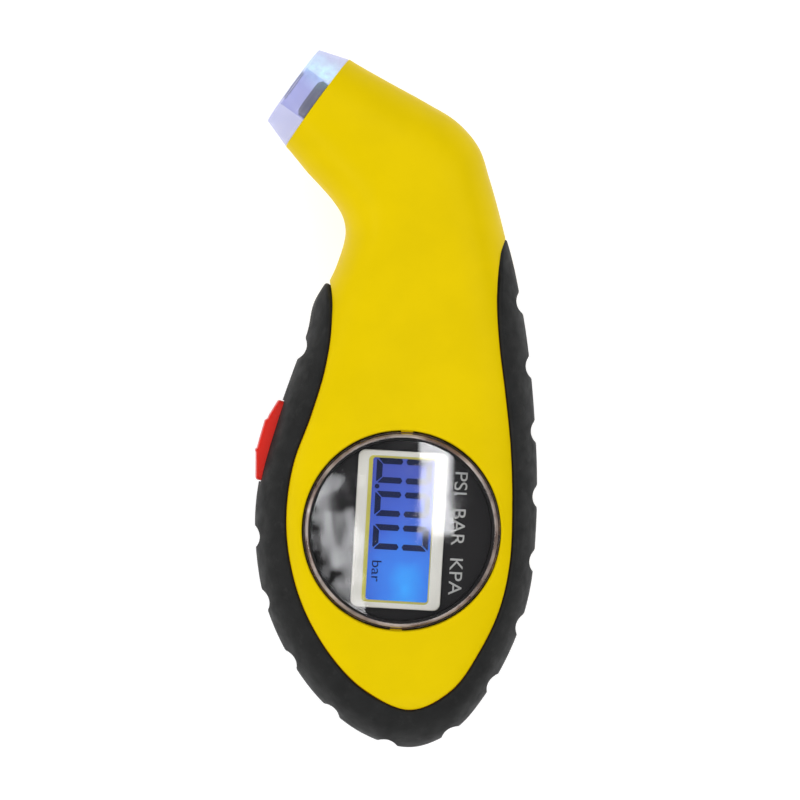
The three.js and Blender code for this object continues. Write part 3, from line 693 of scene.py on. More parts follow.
def pane(name, tint, gloss, index):
    """Clear plastic window: what lies behind shows through, and its faces mirror the lights."""
    look = Look(name)
    look.tree.nodes.remove(look.shader)
    smears = look.remap(look.noise(5.0, 5.0, 0.6), 0.45, 0.75, gloss, gloss + 0.05)
    ripples = look.bump(look.noise(6.0, 1.0), 0.002)
    inputs = {"Color": (1, 1, 1), "Roughness": smears, "Normal": ripples}
    mirror = look.node("ShaderNodeBsdfAnisotropic", inputs).outputs[0]
    outer_face = look.math("SUBTRACT", 1.0, look.node("ShaderNodeNewGeometry").outputs["Backfacing"])
    fresnel = look.node("ShaderNodeFresnel", {"IOR": index}).outputs[0]
    look.show(look.blended(look.math("MULTIPLY", fresnel, outer_face), look.transparent(tint), mirror))
    return look.material


def rim_reflection_look():
    """The window's sloping rim. Its gloss mirrors the lamps, and its mottled colour, brown to pale pink, is
    painted reflection of the light and the yellow casing round it, standing in for what the clear rim
    refracts.
    """
    look = Look("window_rim_painted_reflection", (0.5, 0.4, 0.34), 0.1, specular=1.0)
    look.mottle(look.noise(5.0, 4.0), 0.38, 0.66, (0.20, 0.12, 0.09), (0.60, 0.50, 0.44))
    look.rub(look.noise(1.2, 3.0), 0.05, 0.18)
    look.relief((look.noise(1.6, 2.0), 0.006))
    reflection_share = look.remap(look.noise(6.0, 3.0), 0.35, 0.65, 0.55, 0.9)
    look.show(look.blended(reflection_share, look.transparent((0.93, 0.90, 0.88)), look.shader.outputs[0]))
    return look.material


def foot_shade_look():
    """The window's foot, seen through its own edge in the gap by the casing: painted shade, dark brown,
    with patches of painted amber light from the yellow casing round it.
    """
    look = Look("window_foot_painted_shade", (0.04, 0.02, 0.01), 0.25, specular=0.3)
    look.mottle(look.noise(5.0, 3.0, 0.6), 0.5, 0.72, (0.022, 0.011, 0.006), (0.22, 0.10, 0.02))
    look.rub(look.noise(1.2, 3.0), 0.18, 0.34)
    look.relief((look.noise(1.0, 2.0), 0.004))
    look.show(look.blended(0.82, look.transparent((0.8, 0.7, 0.6)), look.shader.outputs[0]))
    return look.material


def glowing_cone_look():
    """Milky clear plastic in the nozzle's own axes, lit from inside by the lamp at one side of the bore.

    It is clearest round the bore. At the front, two arcs of the bore's lip lie in shadow.
    """
    look = Look("nozzle_plastic", (0.60, 0.60, 0.86), 0.16)
    look.mottle(look.noise(3.0, 4.0), 0.35, 0.7, (0.52, 0.53, 0.80), (0.72, 0.71, 0.90))
    look.rub(look.noise(1.1, 3.0), 0.12, 0.3)
    look.relief((look.noise(1.5, 2.0), 0.006))
    axes = look.node("ShaderNodeSeparateXYZ", {0: look.place}).outputs
    squares = []
    for axis, lamp_at, reach in ((axes[0], 5.4, 2.4), (axes[1], 2.6, 4.2)):
        from_lamp = look.math("DIVIDE", look.math("SUBTRACT", axis, lamp_at * MM), reach * MM)
        squares.append(look.math("POWER", from_lamp, 2.0))
    fade = look.math("EXPONENT", look.math("MULTIPLY", look.math("ADD", *squares), -1.0))
    ripple = look.remap(look.noise(2.2, 3.0), 0.35, 0.65, 0.35, 1.35)
    look.set("Emission Color", (0.28, 0.95, 0.72))
    look.set("Emission Strength", look.math("ADD", look.math("MULTIPLY", fade, ripple), 0.02))
    square = look.math("ADD", look.math("POWER", axes[0], 2.0), look.math("POWER", axes[2], 2.0))
    radius = look.math("SQRT", square)
    milkiness = look.remap(radius, 4.45 * MM, 5.3 * MM, 0.05, 0.24)
    milky = look.blended(milkiness, look.transparent((0.79, 0.80, 0.95)), look.shader.outputs[0])
    by_bore = look.remap(radius, 4.8 * MM, 5.1 * MM, 1.0, 0.0)
    at_front = look.remap(axes[1], 5.7 * MM, 5.8 * MM)
    in_arc = look.remap(look.math("ABSOLUTE", axes[0]), 2.8 * MM, 3.5 * MM, 1.0, 0.0)
    lip = look.math("MULTIPLY", look.math("MULTIPLY", by_bore, at_front), in_arc)
    shadow = look.node("ShaderNodeBsdfDiffuse", {"Color": (0.10, 0.09, 0.16)}).outputs[0]
    look.show(look.blended(look.math("MULTIPLY", lip, 0.8), milky, shadow))
    return look.material


def lit_panel_look():
    """Backlit display, brightest where the lamp sits near its lower end."""
    look = Look("lcd_backlit", (0.006, 0.009, 0.03), 0.3, specular=0.1)
    lamp_place = (DISPLAY["x"] * MM + 0.0006, DISPLAY["y"] * MM - 0.0116, 0)
    offset = look.node("ShaderNodeVectorMath", {0: look.place, 1: lamp_place}, operation="SUBTRACT")
    inputs = {0: offset.outputs[0], 1: (1.25, 0.85, 0.0)}
    flat = look.node("ShaderNodeVectorMath", inputs, operation="MULTIPLY").outputs[0]
    reach = look.node("ShaderNodeVectorMath", {0: flat}, operation="LENGTH").outputs["Value"]
    uneven = look.math("ADD", reach, look.remap(look.noise(6.0, 2.0), 0.3, 0.7, -0.0012, 0.0012))
    ramp = look.node("ShaderNodeValToRGB", {0: look.math("DIVIDE", uneven, 0.024)})
    stops = ramp.color_ramp.elements
    stops[0].position, stops[0].color = 0.0, (0.05, 0.44, 1.15, 1)
    stops[1].position, stops[1].color = 1.0, (0.06, 0.082, 0.43, 1)
    for position, colour in ((0.22, (0.048, 0.25, 0.95, 1)), (0.5, (0.05, 0.135, 0.70, 1))):
        stops.new(position).color = colour
    look.set("Emission Color", ramp.outputs["Color"])
    look.set("Emission Strength", 0.86)
    look.rub(look.noise(0.6, 3.0), 0.16, 0.26)
    look.relief((look.noise(0.3, 2.0), 0.001))
    return look.material


def lamp_look():
    look = Look("lamp_lens", (0.85, 0.93, 1.0), 0.15)
    look.set("Base Color", look.mixed(look.noise(0.8, 3.0), (0.78, 0.88, 1.0), (0.95, 0.98, 1.0)))
    look.set("Emission Color", (0.62, 0.9, 1.0))
    look.set("Emission Strength", 2.5)
    look.relief((look.noise(0.5, 2.0), 0.002))
    return look.material


def board_look():
    """Solder mask over copper tracks, with tinned pads."""
    look = Look("circuit_board", (0.01, 0.09, 0.03), 0.35)
    flat = look.stretched((1.0, 1.0, 0.0))
    track = look.remap(look.cells(1 / 0.42, flat, feature="DISTANCE_TO_EDGE"), 0.05, 0.08, 1.0, 0.0)
    pad = look.remap(look.cells(1 / 0.26, flat), 0.13, 0.17, 1.0, 0.0)
    mask = look.mixed(track, (0.008, 0.075, 0.026), (0.02, 0.16, 0.05))
    look.set("Base Color", look.mixed(pad, mask, (0.55, 0.55, 0.52)))
    look.set("Roughness", look.remap(pad, 0.0, 1.0, 0.34, 0.22))
    look.relief((track, 0.02), (look.noise(0.4, 2.0), 0.003))
    return look.material


def insulated(name, colour):
    look = Look(name, colour, 0.4)
    look.set("Base Color", look.mixed(look.noise(1.5, 3.0), shade(colour, 0.8), shade(colour, 1.15)))
    look.rub(look.noise(0.7, 3.0), 0.32, 0.5)
    look.relief((look.noise(0.5, 3.0), 0.01))
    return look.material


YELLOW = (0.815, 0.592, 0.0005)
yellow = moulded("yellow_plastic", YELLOW, 0.38, grain=0.7, depth=0.005, spread=0.03, specular=0.03)
# Dark reddish brown for the yellow plastic's rolled edge down into the groove beside the rubber: painted
# shade of the groove.
groove_shade = moulded("yellow_groove_shade", (0.42, 0.15, 0.001), 0.5, grain=0.7, spread=0.1, specular=0.03)
black_rubber = rubber("grip_rubber", (0.0115, 0.0117, 0.0113))
seal_rubber = rubber("seal_rubber", (0.018, 0.018, 0.022), grain=0.2, depth=0.006)
red = moulded("red_plastic", (0.75, 0.015, 0.005), 0.36, grain=0.4, spread=0.06, specular=0.2)
black_plastic = moulded("black_plastic", (0.014, 0.0125, 0.0115), 0.42, spread=0.15)
# Black for the card's print and the gasket. The casing's seat under the window takes it too, as painted
# shade.
INK_AND_SEAT_SHADE = (0.015, 0.014, 0.0135)
ink_and_seat_shade = moulded("card_print_and_seat_shade", INK_AND_SEAT_SHADE, 0.4, grain=0.25, depth=0.002, spread=0.12, specular=0.12)
NAVY = (0.012, 0.020, 0.075)
ink_dark = moulded("lcd_segments", NAVY, 0.4, grain=0.2, depth=0.001, spread=0.1, specular=0.1)
white_ink = moulded("printed_letters", (0.42, 0.42, 0.39), 0.5, grain=0.15, spread=0.12)
white_plastic = moulded("frame_plastic", (0.76, 0.745, 0.655), 0.34, grain=0.4, depth=0.003)
olive_edge = moulded("frame_inner_edge", (0.74, 0.67, 0.12), 0.45, grain=0.3, spread=0.12)
ceramic = moulded("chip_ceramic", (0.33, 0.24, 0.16), 0.55, grain=0.2, depth=0.01, spread=0.12)
chip_black = moulded("chip_black", (0.02, 0.02, 0.022), 0.55, grain=0.15, depth=0.01, spread=0.15)
silicone = moulded("silicone_hose", (0.48, 0.47, 0.43), 0.5, grain=0.6, depth=0.01, spread=0.1)
light_guide = moulded("light_guide", (0.75, 0.80, 0.86), 0.3, grain=0.3, spread=0.04)
steel = metal("plated_steel", (0.56, 0.56, 0.55), 0.3)
brass = metal("turned_brass", (0.74, 0.50, 0.20), 0.28)
red_wire = insulated("red_insulation", (0.5, 0.02, 0.015))
black_wire = insulated("black_insulation", (0.02, 0.02, 0.02))
lens_clear = pane("window_plastic", (0.97, 0.97, 0.98), gloss=0.02, index=1.33)
rim_reflection = rim_reflection_look()
foot_shade = foot_shade_look()
cone_plastic = glowing_cone_look()
lcd_lit = lit_panel_look()
lamp = lamp_look()
board = board_look()

# ------------------------------------------------------------------ casing


def casing_skin(first, last, turns, spacing, inset=0.0, closed=False):
    """Grid over the casing from one rib to another. Turns run clockwise, so that faces look outwards."""
    ribs = even_ribs(first, last, spacing)
    width = len(turns)
    points = casing_point(np.repeat(ribs, width), np.tile(turns, len(ribs)), inset)
    points[:, 2] = np.maximum(points[:, 2], 0)
    return Surface.grid(points.reshape(len(ribs), width, 3), closed)


def behind_mouth(points):
    return (MOUTH_CENTRE - points[:, :2]) @ MOUTH_AXIS


def to_mouth_ring(radius, axial):
    def step(points):
        across = (points[:, :2] - MOUTH_CENTRE) @ MOUTH_ACROSS
        up = points[:, 2] - MID_Z
        scale = radius / np.hypot(across, up)
        plan = MOUTH_CENTRE + np.outer(across * scale, MOUTH_ACROSS) + axial * MOUTH_AXIS
        return np.column_stack([plan, MID_Z + up * scale])

    return step


def cut_edge(surface, value, radius, after=(), depth=0.0, ledge=0.0, look=0):
    """Cuts the surface where value falls to zero and rolls the new edge over, up to that line."""
    shrunk = lambda points: value(points) - radius
    surface.rolled(surface.clip(shrunk), shrunk, radius, after, depth, ledge, look)


GROOVE, SEAT_LOOK = 1, 2  # the casing's looks beside the rubber and under the window, both painted shade
HALF_GIRTH = 80.0  # about the way round half of a section
SHELL_GRID = GRID * 1.5  # spacing of the shells' mesh
SHELL_ENDS = (0.3, MOUTH_RIB + 0.35)  # first and last rib
GRIP_ENDS = (0.0, 12.6)  # first and last rib
PARTING = {"half_gap": 0.12, "roll": 0.22, "depth": 1.6, "lip": 0.3}  # the front's lip closes the gap
EDGE_PROUD = 0.28  # how far the yellow plastic's rolled edge reaches past the face's outline
GRIP_BACK = 0.42  # how far the rubber keeps away from it
EDGE_ROLL = 0.6  # radius of both edges there
MOUTH_RING = 8.35  # inner radius of the casing's mouth
FAR = 9.0  # stands for a place that a local cut doesn't reach
BACK_HEIGHT = 5.0  # the cover's hole is cut only below this height


def shell(front):
    """Front or rear half of the casing, with rolled edges at the rubber, the parting line and the mouth."""
    side = 1 if front else -1
    columns = int(HALF_GIRTH / SHELL_GRID)
    turns = np.linspace(math.pi, 0, columns) if front else np.linspace(0, -math.pi, columns)
    surface = casing_skin(*SHELL_ENDS, turns, SHELL_GRID)
    beside_rubber = lambda points: inside_face(points) + EDGE_PROUD
    # From a third of the way round, the rolled edge beside the rubber takes the groove's painted shade.
    cut_edge(surface, beside_rubber, EDGE_ROLL, depth=1.7, ledge=0.8, look=GROOVE)
    parting = lambda points: side * (points[:, 2] - MID_Z) - PARTING["half_gap"]
    lip = PARTING["lip"] if front else 0.0
    cut_edge(surface, parting, PARTING["roll"], depth=PARTING["depth"], ledge=lip)
    inward = [(MOUTH_RING + 0.1, 0.0), (MOUTH_RING, -0.1), (MOUTH_RING, -3.0)]
    cut_edge(surface, behind_mouth, 0.14, [to_mouth_ring(r, y) for r, y in inward])
    return surface


# The casing's seat lies in shade under the window, and its faces take the black ink as painted shade.
def casing_part(centre):
    from_window = math.hypot(centre[0] - DISPLAY["x"], centre[1] - DISPLAY["y"])
    in_seat = from_window < SEAT["radius"] and SEAT["bottom"] - 1 < centre[2] < SEAT["ledge"] + 0.1
    return SEAT_LOOK if in_seat else 0


front = shell(True)
wide, narrow, ledge, bottom = SEAT["radius"], SEAT["inner"], SEAT["ledge"], SEAT["bottom"]
seat_steps = [(wide, ledge + 0.3), (wide - 0.1, ledge + 0.08), (wide - 0.3, ledge), (narrow + 0.3, ledge)]
seat_steps += [(narrow + 0.08, ledge - 0.1), (narrow, ledge - 0.3), (narrow, bottom), (21.0, bottom)]
cut_edge(
    front,
    outside_circle(DISPLAY["x"], DISPLAY["y"], SEAT["radius"]),
    SEAT["edge"],
    [to_circle(DISPLAY["x"], DISPLAY["y"], r, z) for r, z in seat_steps],
)
TAB = {"half_width": 1.2, "inner": 19.1, "outer": 20.0, "top": 26.56}
corners = [(side * TAB["half_width"], reach) for side, reach in ((-1, TAB["inner"]), (1, TAB["inner"]))]
corners += [(side * TAB["half_width"], TAB["outer"]) for side in (1, -1)]
tab_outline = rounded(corners, 0.25, closed=True)
tilt = np.array(Matrix.Rotation(DISPLAY["tilt"], 2))
tabs = []
for end in (-1, 1):
    outline = end * tab_outline @ tilt.T + (DISPLAY["x"], DISPLAY["y"])
    tabs.append(prism(outline, SEAT["ledge"] - 0.2, TAB["top"]))
casing_looks = [yellow, groove_shade, ink_and_seat_shade]
casing = merged([front, *tabs])
put(casing, "front_casing", casing_looks, "yellow_abs", ["front_shell"], part_of=casing_part)

rear = shell(False)


def outside_cover_hole(points):
    """The cover's round hole with a notch at two ends, through which the cover's lugs go in."""
    x, y = points[:, 0] - COVER["x"], points[:, 1] - COVER["y"]
    turn = COVER_HOLE["notch_turn"]
    along = x * math.cos(turn) + y * math.sin(turn)
    across = -x * math.sin(turn) + y * math.cos(turn)
    beyond_end = np.abs(along) - COVER_HOLE["notch_reach"]
    beyond_side = np.abs(across) - COVER_HOLE["notch_half_width"]
    hole = np.minimum(np.hypot(x, y) - COVER_HOLE["radius"], np.maximum(beyond_end, beyond_side))
    return np.where(points[:, 2] < BACK_HEIGHT, hole, FAR)


cut_edge(rear, outside_cover_hole, 0.3, depth=1.9)
for x, y in CASE_SCREWS:
    radius, seat, thread = SCREW_HOLE.values()
    well_steps = [(radius, seat - 0.2), (radius - 0.1, seat), (thread, seat), (thread, seat + 2)]
    cut_edge(rear, outside_circle(x, y, radius), 0.25, [to_circle(x, y, r, z) for r, z in well_steps])
put(rear, "rear_casing", [yellow, groove_shade], "yellow_abs", ["rear_shell"])


# ------------------------------------------------------------------ rubber grip

arc_from_right = OUTLINE_LENGTH[-1] - OUTLINE_LENGTH


def notch_frames():
    """Axis point, direction along the outline and direction inwards of every notch."""
    for i in range(NOTCH["count"]):
        if i in NOTCHES_LEFT_OUT:
            continue
        at = int(np.argmin(np.abs(arc_from_right - NOTCH["first"] - i * NOTCH["pitch"])))
        inward = OUTLINE_INWARD[at]
        centre = OUTLINE[at] + (NOTCH["depth"] - GRIP_PROUD - NOTCH["radius"]) * inward
        yield centre, outline_tangent[at], inward


def press_notches(points):
    """Moves the points that stand inside a notch's cylinder inwards, onto its wall."""
    for centre, along, inward in notch_frames():
        offset = points[:, :2] - centre
        u, v = offset @ along, offset @ inward
        gap = np.sqrt(np.clip(NOTCH["radius"] ** 2 - u**2, 0, None)) - v
        near = (np.abs(u) < NOTCH["radius"]) & (v > -1) & (gap > -0.6)
        push = np.where(near, (gap + np.sqrt(gap**2 + NOTCH["softness"] ** 2)) / 2, 0)
        points[:, :2] += push[:, None] * inward


TIP_BACK = -0.3  # the same as GRIP_BACK, at the right tip, where the rubber closes the groove
TIP_START = {"left": 19.0, "right": 24.0}  # height along Y at which the rubber begins to run out
TIP_LENGTH = 9.5  # over which the rubber runs out
CLOSING_LENGTH = 5.0  # over which it closes the groove
TIP_SWELL = {"y": 18.6, "spread": 3.6, "amount": 0.7}  # fullness of the rubber just below its left tip


def towards_tip(points, length):
    """Rises from 0 to 1 within a length, from where the rubber begins to run out to a tip."""
    start = np.where(points[:, 0] < 0, TIP_START["left"], TIP_START["right"])
    return np.clip((points[:, 1] - start) / length, 0, 1)


def sink_tips(surface):
    """Lets the rubber run out flush with the casing towards its two upper tips, the left one fuller."""
    x, y = surface.points[:, 0], surface.points[:, 1]
    amount = towards_tip(surface.points, TIP_LENGTH) ** 2
    normals = surface.normals()
    surface.points -= normals * (amount * (GRIP_PROUD - 0.05))[:, None]
    bulge = np.exp(-(((y - TIP_SWELL["y"]) / TIP_SWELL["spread"]) ** 2))
    swell = np.where(x < 0, TIP_SWELL["amount"] * bulge, 0)
    surface.points[:, :2] += normals[:, :2] * swell[:, None]


button_along = np.array([math.cos(BUTTON["turn"]), math.sin(BUTTON["turn"])])
button_out = np.array([-math.sin(BUTTON["turn"]), math.cos(BUTTON["turn"])])


def outside_slot(points):
    offset = points[:, :2] - (BUTTON["x"], BUTTON["y"])
    distance = beyond_rectangle(offset @ button_along, points[:, 2] - MID_Z, **SLOT)
    return np.where(offset @ button_out > -SLOT_REACH, distance, FAR)


grip_turns = np.linspace(2 * math.pi, 0, int(2 * HALF_GIRTH / GRID), endpoint=False)
grip = casing_skin(*GRIP_ENDS, grip_turns, GRID, -GRIP_PROUD, closed=True)
press_notches(grip.points)
sink_tips(grip)


def outside_face(points):
    closing = np.where(points[:, 0] > 0, towards_tip(points, CLOSING_LENGTH), 0)
    return -inside_face(points) - GRIP_BACK - (TIP_BACK - GRIP_BACK) * closing


cut_edge(grip, outside_face, EDGE_ROLL, depth=1.6)
cut_edge(grip, outside_slot, 0.12, depth=2.8)
put(grip, "grip_sleeve", [black_rubber], "black_rubber", ["rubber_grip"], sharp=60)


# ------------------------------------------------------------------ display

display_axes = frame_at(DISPLAY["x"], DISPLAY["y"], 0, DISPLAY["tilt"])
crown_radius = LENS_STEP["face_radius"] ** 2 / (2 * LENS["crown"])


def lens_profile():
    """Foot in the seat, a step up to a narrower wall, a sloping rim in two facets, then a low crown."""
    foot_radius, foot, top = LENS["radius"], LENS["foot"], LENS["top"]
    wall, step, rim_foot, face = LENS_STEP.values()
    rim_height = top - (RIM["radius"] - face) * math.tan(RIM["slope"])
    profile = [(0, foot), (8, foot), (19.3, foot), (foot_radius, foot + 0.2)]
    profile += [(foot_radius, step - 0.12), (foot_radius - 0.1, step), (wall + 0.08, step)]
    profile += [(wall, step + 0.1), (wall, rim_foot - 0.06), (wall - 0.08, rim_foot)]
    profile += [(RIM["radius"], rim_height), (face, top)]
    for r in np.linspace(face - 0.5, 0, 24):
        profile.append((r, top + LENS["crown"] * (1 - (r / face) ** 2)))
    return profile


def lens_part(centre):
    """Second look for the sloping rim, which carries painted reflection; third for the top of the foot
    outside it, which carries painted shade.
    """
    reach = math.hypot(*centre[:2])
    if reach > LENS_STEP["radius"]:
        return 2 if centre[2] > LENS_STEP["height"] - 0.2 else 0
    return 1 if reach > LENS_STEP["face_radius"] and centre[2] > LENS_STEP["rim_foot"] else 0


GASKET = [(17.96, 26.0), (19.5, 26.0), (19.5, 26.5), (17.96, 26.5)]  # radius and height
gasket = turned_ring(GASKET, 0.12, 3, 120)
put(gasket, "window_gasket", [ink_and_seat_shade], "black_rubber", ["lens_gasket"], display_axes)
lens = turned(lens_profile(), 180)
lens_looks = [lens_clear, rim_reflection, foot_shade]
put(lens, "window_lens", lens_looks, "clear_plastic", ["display_lens"], display_axes, part_of=lens_part)


def plate(size, spacing, height):
    """Flat square grid that looks up."""
    steps = np.arange(-size, size + spacing, spacing)
    x, y = np.meshgrid(steps, steps)
    return Surface.grid(np.stack([x, y, np.full_like(x, height)], axis=-1))


CARD = {"top": 25.1, "radius": 17.85, "thickness": 0.3}
CARD_OPENING = {"half_width": 7.4, "half_length": 14.8, "corner": 0.4}
card = plate(18.5, 0.6, CARD["top"])
cut_edge(card, within_circle(CARD["radius"]), 0.1, depth=CARD["thickness"])
cut_edge(card, outside_rectangle(**CARD_OPENING), 0.05, depth=CARD["thickness"])
put(card, "display_face", [ink_and_seat_shade], "black_plastic", ["display_card"], display_axes)

LCD_SHIFT = np.array([-0.45, 0.08, 0.0])  # the display unit sits a little off the window's middle
WINDOW_SHIFT = 0.2
FRAME_LOOPS = [  # width, length, corner radius, height, shift along X
    (17.8, 31.3, 1.4, 25.4, 0),
    (17.8, 31.3, 1.4, 26.0, 0),
    (17.66, 31.16, 1.35, 26.12, 0),
    (17.4, 30.9, 1.2, 26.2, 0),
    (13.5, 29.3, 1.0, 26.2, -0.1),
    (13.3, 29.1, 0.9, 26.1, -0.1),
    (12.45, 28.45, 0.6, 25.75, WINDOW_SHIFT),
    (12.3, 28.3, 0.5, 25.6, WINDOW_SHIFT),
    (12.3, 28.3, 0.5, 24.0, WINDOW_SHIFT),
    (14.2, 29.2, 0.6, 24.0, 0),
    (14.2, 29.2, 0.6, 25.4, 0),
]
frame_loops = []
for *loop_sizes, shift in FRAME_LOOPS:
    frame_loops.append(np.array(rounded_rectangle(*loop_sizes)) + LCD_SHIFT + (shift, 0, 0))

INNER_EDGE = {"half_width": 6.85, "half_length": 14.7, "top": 26.15}


def frame_part(centre):
    """Second look for the frame's inner edge."""
    across, along = np.abs(centre - LCD_SHIFT)[:2]
    inside = across < INNER_EDGE["half_width"] and along < INNER_EDGE["half_length"]
    return 1 if inside and centre[2] < INNER_EDGE["top"] else 0


surround = lofted(frame_loops)
frame_looks = [white_plastic, olive_edge]
put(surround, "lcd_surround", frame_looks, "white_plastic", ["lcd_frame"], display_axes, part_of=frame_part)

DIGIT = {"width": 5.0, "height": 11.1, "stroke": 1.2, "pitch": 6.6, "x": -0.1, "y": -1.5, "gap": 0.16}


def digit_segments():
    """Outlines of the six outer segments of a figure nought, in the figure's own axes."""
    w, h, t, g = DIGIT["width"] / 2, DIGIT["height"] / 2, DIGIT["stroke"], DIGIT["gap"]
    for up in (1, -1):
        outer, inner = w - g, w - t - g * 0.4
        yield [(-outer, up * h), (outer, up * h), (inner, up * (h - t)), (-inner, up * (h - t))]
        for right in (1, -1):
            upright = [(w, h - g * 1.6), (w, t * 0.55), (w - t / 2, 0.28)]
            upright += [(w - t, t * 0.55), (w - t, h - t - g)]
            yield [(right * u, up * v) for u, v in upright]


def counterclockwise(outline):
    x, y = np.array(outline).T
    area = np.sum(x * np.roll(y, -1) - y * np.roll(x, -1))
    return outline if area > 0 else outline[::-1]


GLASS_TOP = box("lcd_panel")[1][2]
POINT = {"x": -5.35, "y": 8.5, "radius": 0.48}
outlines = []
for number in range(3):
    centre_y = DIGIT["y"] + (2 - number) * DIGIT["pitch"]
    for outline in digit_segments():
        turned_outline = [(DIGIT["x"] + v, centre_y - u) for u, v in counterclockwise(outline)]
        outlines.append(rounded(turned_outline, 0.14, 3, closed=True))
angle = np.linspace(0, 2 * math.pi, 20, endpoint=False)
circle = np.column_stack([np.cos(angle), np.sin(angle)])
outlines.append(circle * POINT["radius"] + (POINT["x"], POINT["y"]))
figures = [prism(outline, GLASS_TOP + 0.01, GLASS_TOP + 0.07) for outline in outlines]
put(merged(figures), "lcd_figures", [ink_dark], "display_glass", at=display_axes)
PRINT_THICKNESS = 0.04


def lettering(text, name, look, slot, x, y, z, height, length):
    """Raised print that reads down the display, its foot on x, centred on y."""
    curve = bpy.data.curves.new(name, "FONT")
    curve.body = text
    curve.align_x = "CENTER"
    curve.extrude = 0.01
    words = bpy.data.objects.new(name + "_curve", curve)
    bpy.context.scene.collection.objects.link(words)
    bpy.context.view_layer.update()
    mesh = bpy.data.meshes.new_from_object(words)
    bpy.data.objects.remove(words)
    points = np.empty(len(mesh.vertices) * 3)
    mesh.vertices.foreach_get("co", points)
    points = points.reshape(-1, 3)
    low, high = points.min(0), points.max(0)
    scaled = (points - (low + high) / 2) / (high - low)
    across, along = (scaled[:, 1] + 0.5) * height, -scaled[:, 0] * length
    up = scaled[:, 2] * PRINT_THICKNESS
    placed = np.column_stack([x + across, y + along, z + up]) * MM
    mesh.vertices.foreach_set("co", placed.ravel())
    mesh.name = name
    mesh.materials.clear()
    mesh.materials.append(look)
    mesh.update()
    add_piece(name, mesh, "casing", slot, display_axes)


UNITS = {"x": 9.95, "y": 0.0, "z": CARD["top"] + 0.03, "height": 2.6, "length": 24.4}
UNIT = {"x": -5.5, "y": -8.4, "z": GLASS_TOP + 0.04, "height": 1.9, "length": 4.2}
lettering("PSI  BAR  KPA", "unit_print", white_ink, "white_plastic", **UNITS)
lettering("bar", "lcd_unit", ink_dark, "display_glass", **UNIT)


# ------------------------------------------------------------------ nozzle


def along_y(surface):
    """Turns a surface made about Z so that its top points along +Y."""
    x, y, z = surface.points.T
    surface.points = np.column_stack([x, z, -y])
    return surface


nozzle_axes = frame_at(*MOUTH_CENTRE, MID_Z, MOUTH["turn"])
bore, flange, foot, front_y = NOZZLE["bore"], NOZZLE["flange"], NOZZLE["foot"], NOZZLE["front"]
cone_outline = [(bore, foot, 0.2), (flange, foot, 0.2), (flange, 0.1, 0.05)]
cone_outline += [(NOZZLE["base_radius"], 0.1, 0.1), (NOZZLE["front_radius"], front_y, 0.25)]
cone_outline += [(bore, front_y, 0.5)]
cone = along_y(turned_ring(cone_outline, 0.3, 5, 128))
put(cone, "nozzle_cone", [cone_plastic], "clear_plastic", ["nozzle_lens"], nozzle_axes)

seal_outline = [(1.7, -3.4, 0.1), (4.15, -3.4, 0.2), (4.15, 1.7, 0.4)]
seal_outline += [(3.3, 2.3, 0.3), (2.2, 2.3, 0.3), (1.7, 1.7, 0.2)]
seal = along_y(turned_ring(seal_outline, 0.3, 4, 72))
put(seal, "valve_seal", [seal_rubber], "black_rubber", ["nozzle_seal"], nozzle_axes)


# ------------------------------------------------------------------ button

button_axes = frame_at(BUTTON["x"], BUTTON["y"], MID_Z, BUTTON["turn"])
CREST = [  # place along the cap and its height there
    (-9, 0.5), (-8.4, 0.62), (-7.8, 0.95), (-2.95, 2.25), (-2.7, 2.5), (-2.35, 2.5), (-2.1, 2.25),
    (0.5, 2.25), (3.7, 2.2), (4.1, 1.75), (4.9, 1.65), (7.6, 0.85), (8.4, 0.6), (9, 0.5),
]
CROWN = 0.35  # how far the cap falls away at its long edges
crest = np.array(CREST)
cap_x = np.arange(-9, 9.01, 0.12)
cap_z = np.arange(-5.2, 5.21, 0.26)
cap_y = np.interp(cap_x, crest[:, 0], crest[:, 1])
blur = np.array([1, 2, 1]) / 4
smooth_y = np.convolve(np.pad(cap_y, 1, mode="edge"), blur, mode="valid")
grid_x, grid_z = np.meshgrid(cap_x, cap_z, indexing="ij")
rise = smooth_y[:, None] - CROWN * (grid_z / BUTTON["half_height"]) ** 2
cap = Surface.grid(np.stack([grid_x, rise, grid_z], axis=-1))


def within_cap(points):
    return -beyond_rectangle(points[:, 0], points[:, 2], BUTTON["half_length"], BUTTON["half_height"], 1.0)


def grown(amount):
    scale = (1 + amount / BUTTON["half_length"], 1, 1 + amount / BUTTON["half_height"])
    return lambda points: points * scale


FLANGE = {"top": -5.6, "reach": 1.25, "bottom": -6.8}
to_middle = lambda points: points * (0.02, 1, 0.02)
to_top, to_bottom = flat_to(FLANGE["top"], axis=1), flat_to(FLANGE["bottom"], axis=1)
cut_edge(cap, within_cap, 0.4, [to_top, grown(FLANGE["reach"]), to_bottom, to_middle])
put(cap, "button_face", [red], "red_plastic", ["power_button"], button_axes, body="button_cap", sharp=50)


# ------------------------------------------------------------------ back

cover_axes = frame_at(COVER["x"], COVER["y"], 0, 0, math.pi)
cover = plate(11.5, 0.3, -COVER["bottom"])
reach = np.hypot(cover.points[:, 0], cover.points[:, 1])
from_groove = (reach - COVER_GROOVE["radius"]) / COVER_GROOVE["half_width"]
cover.points[:, 2] -= COVER_GROOVE["depth"] * np.exp(-(from_groove**2))
cut_edge(cover, within_circle(COVER["radius"]), 0.35, [flat_to(-1.9)])
half_length, half_width = COIN_SLOT["length"] / 2, COIN_SLOT["width"] / 2
slot_floor = -COVER["bottom"] - COIN_SLOT["depth"]


def to_slot_middle(points):
    """Closes the coin slot's floor on the line along its middle."""
    x = np.clip(points[:, 0], half_width - half_length, half_length - half_width)
    return np.column_stack([x, np.zeros(len(points)), np.full(len(points), slot_floor)])


slot_mouth = outside_rectangle(half_length, half_width, half_width - 0.05)
cut_edge(cover, slot_mouth, 0.15, [flat_to(slot_floor), to_slot_middle])
put(cover, "cover_disc", [yellow], "yellow_abs", ["battery_cover"], cover_axes, body="cover")

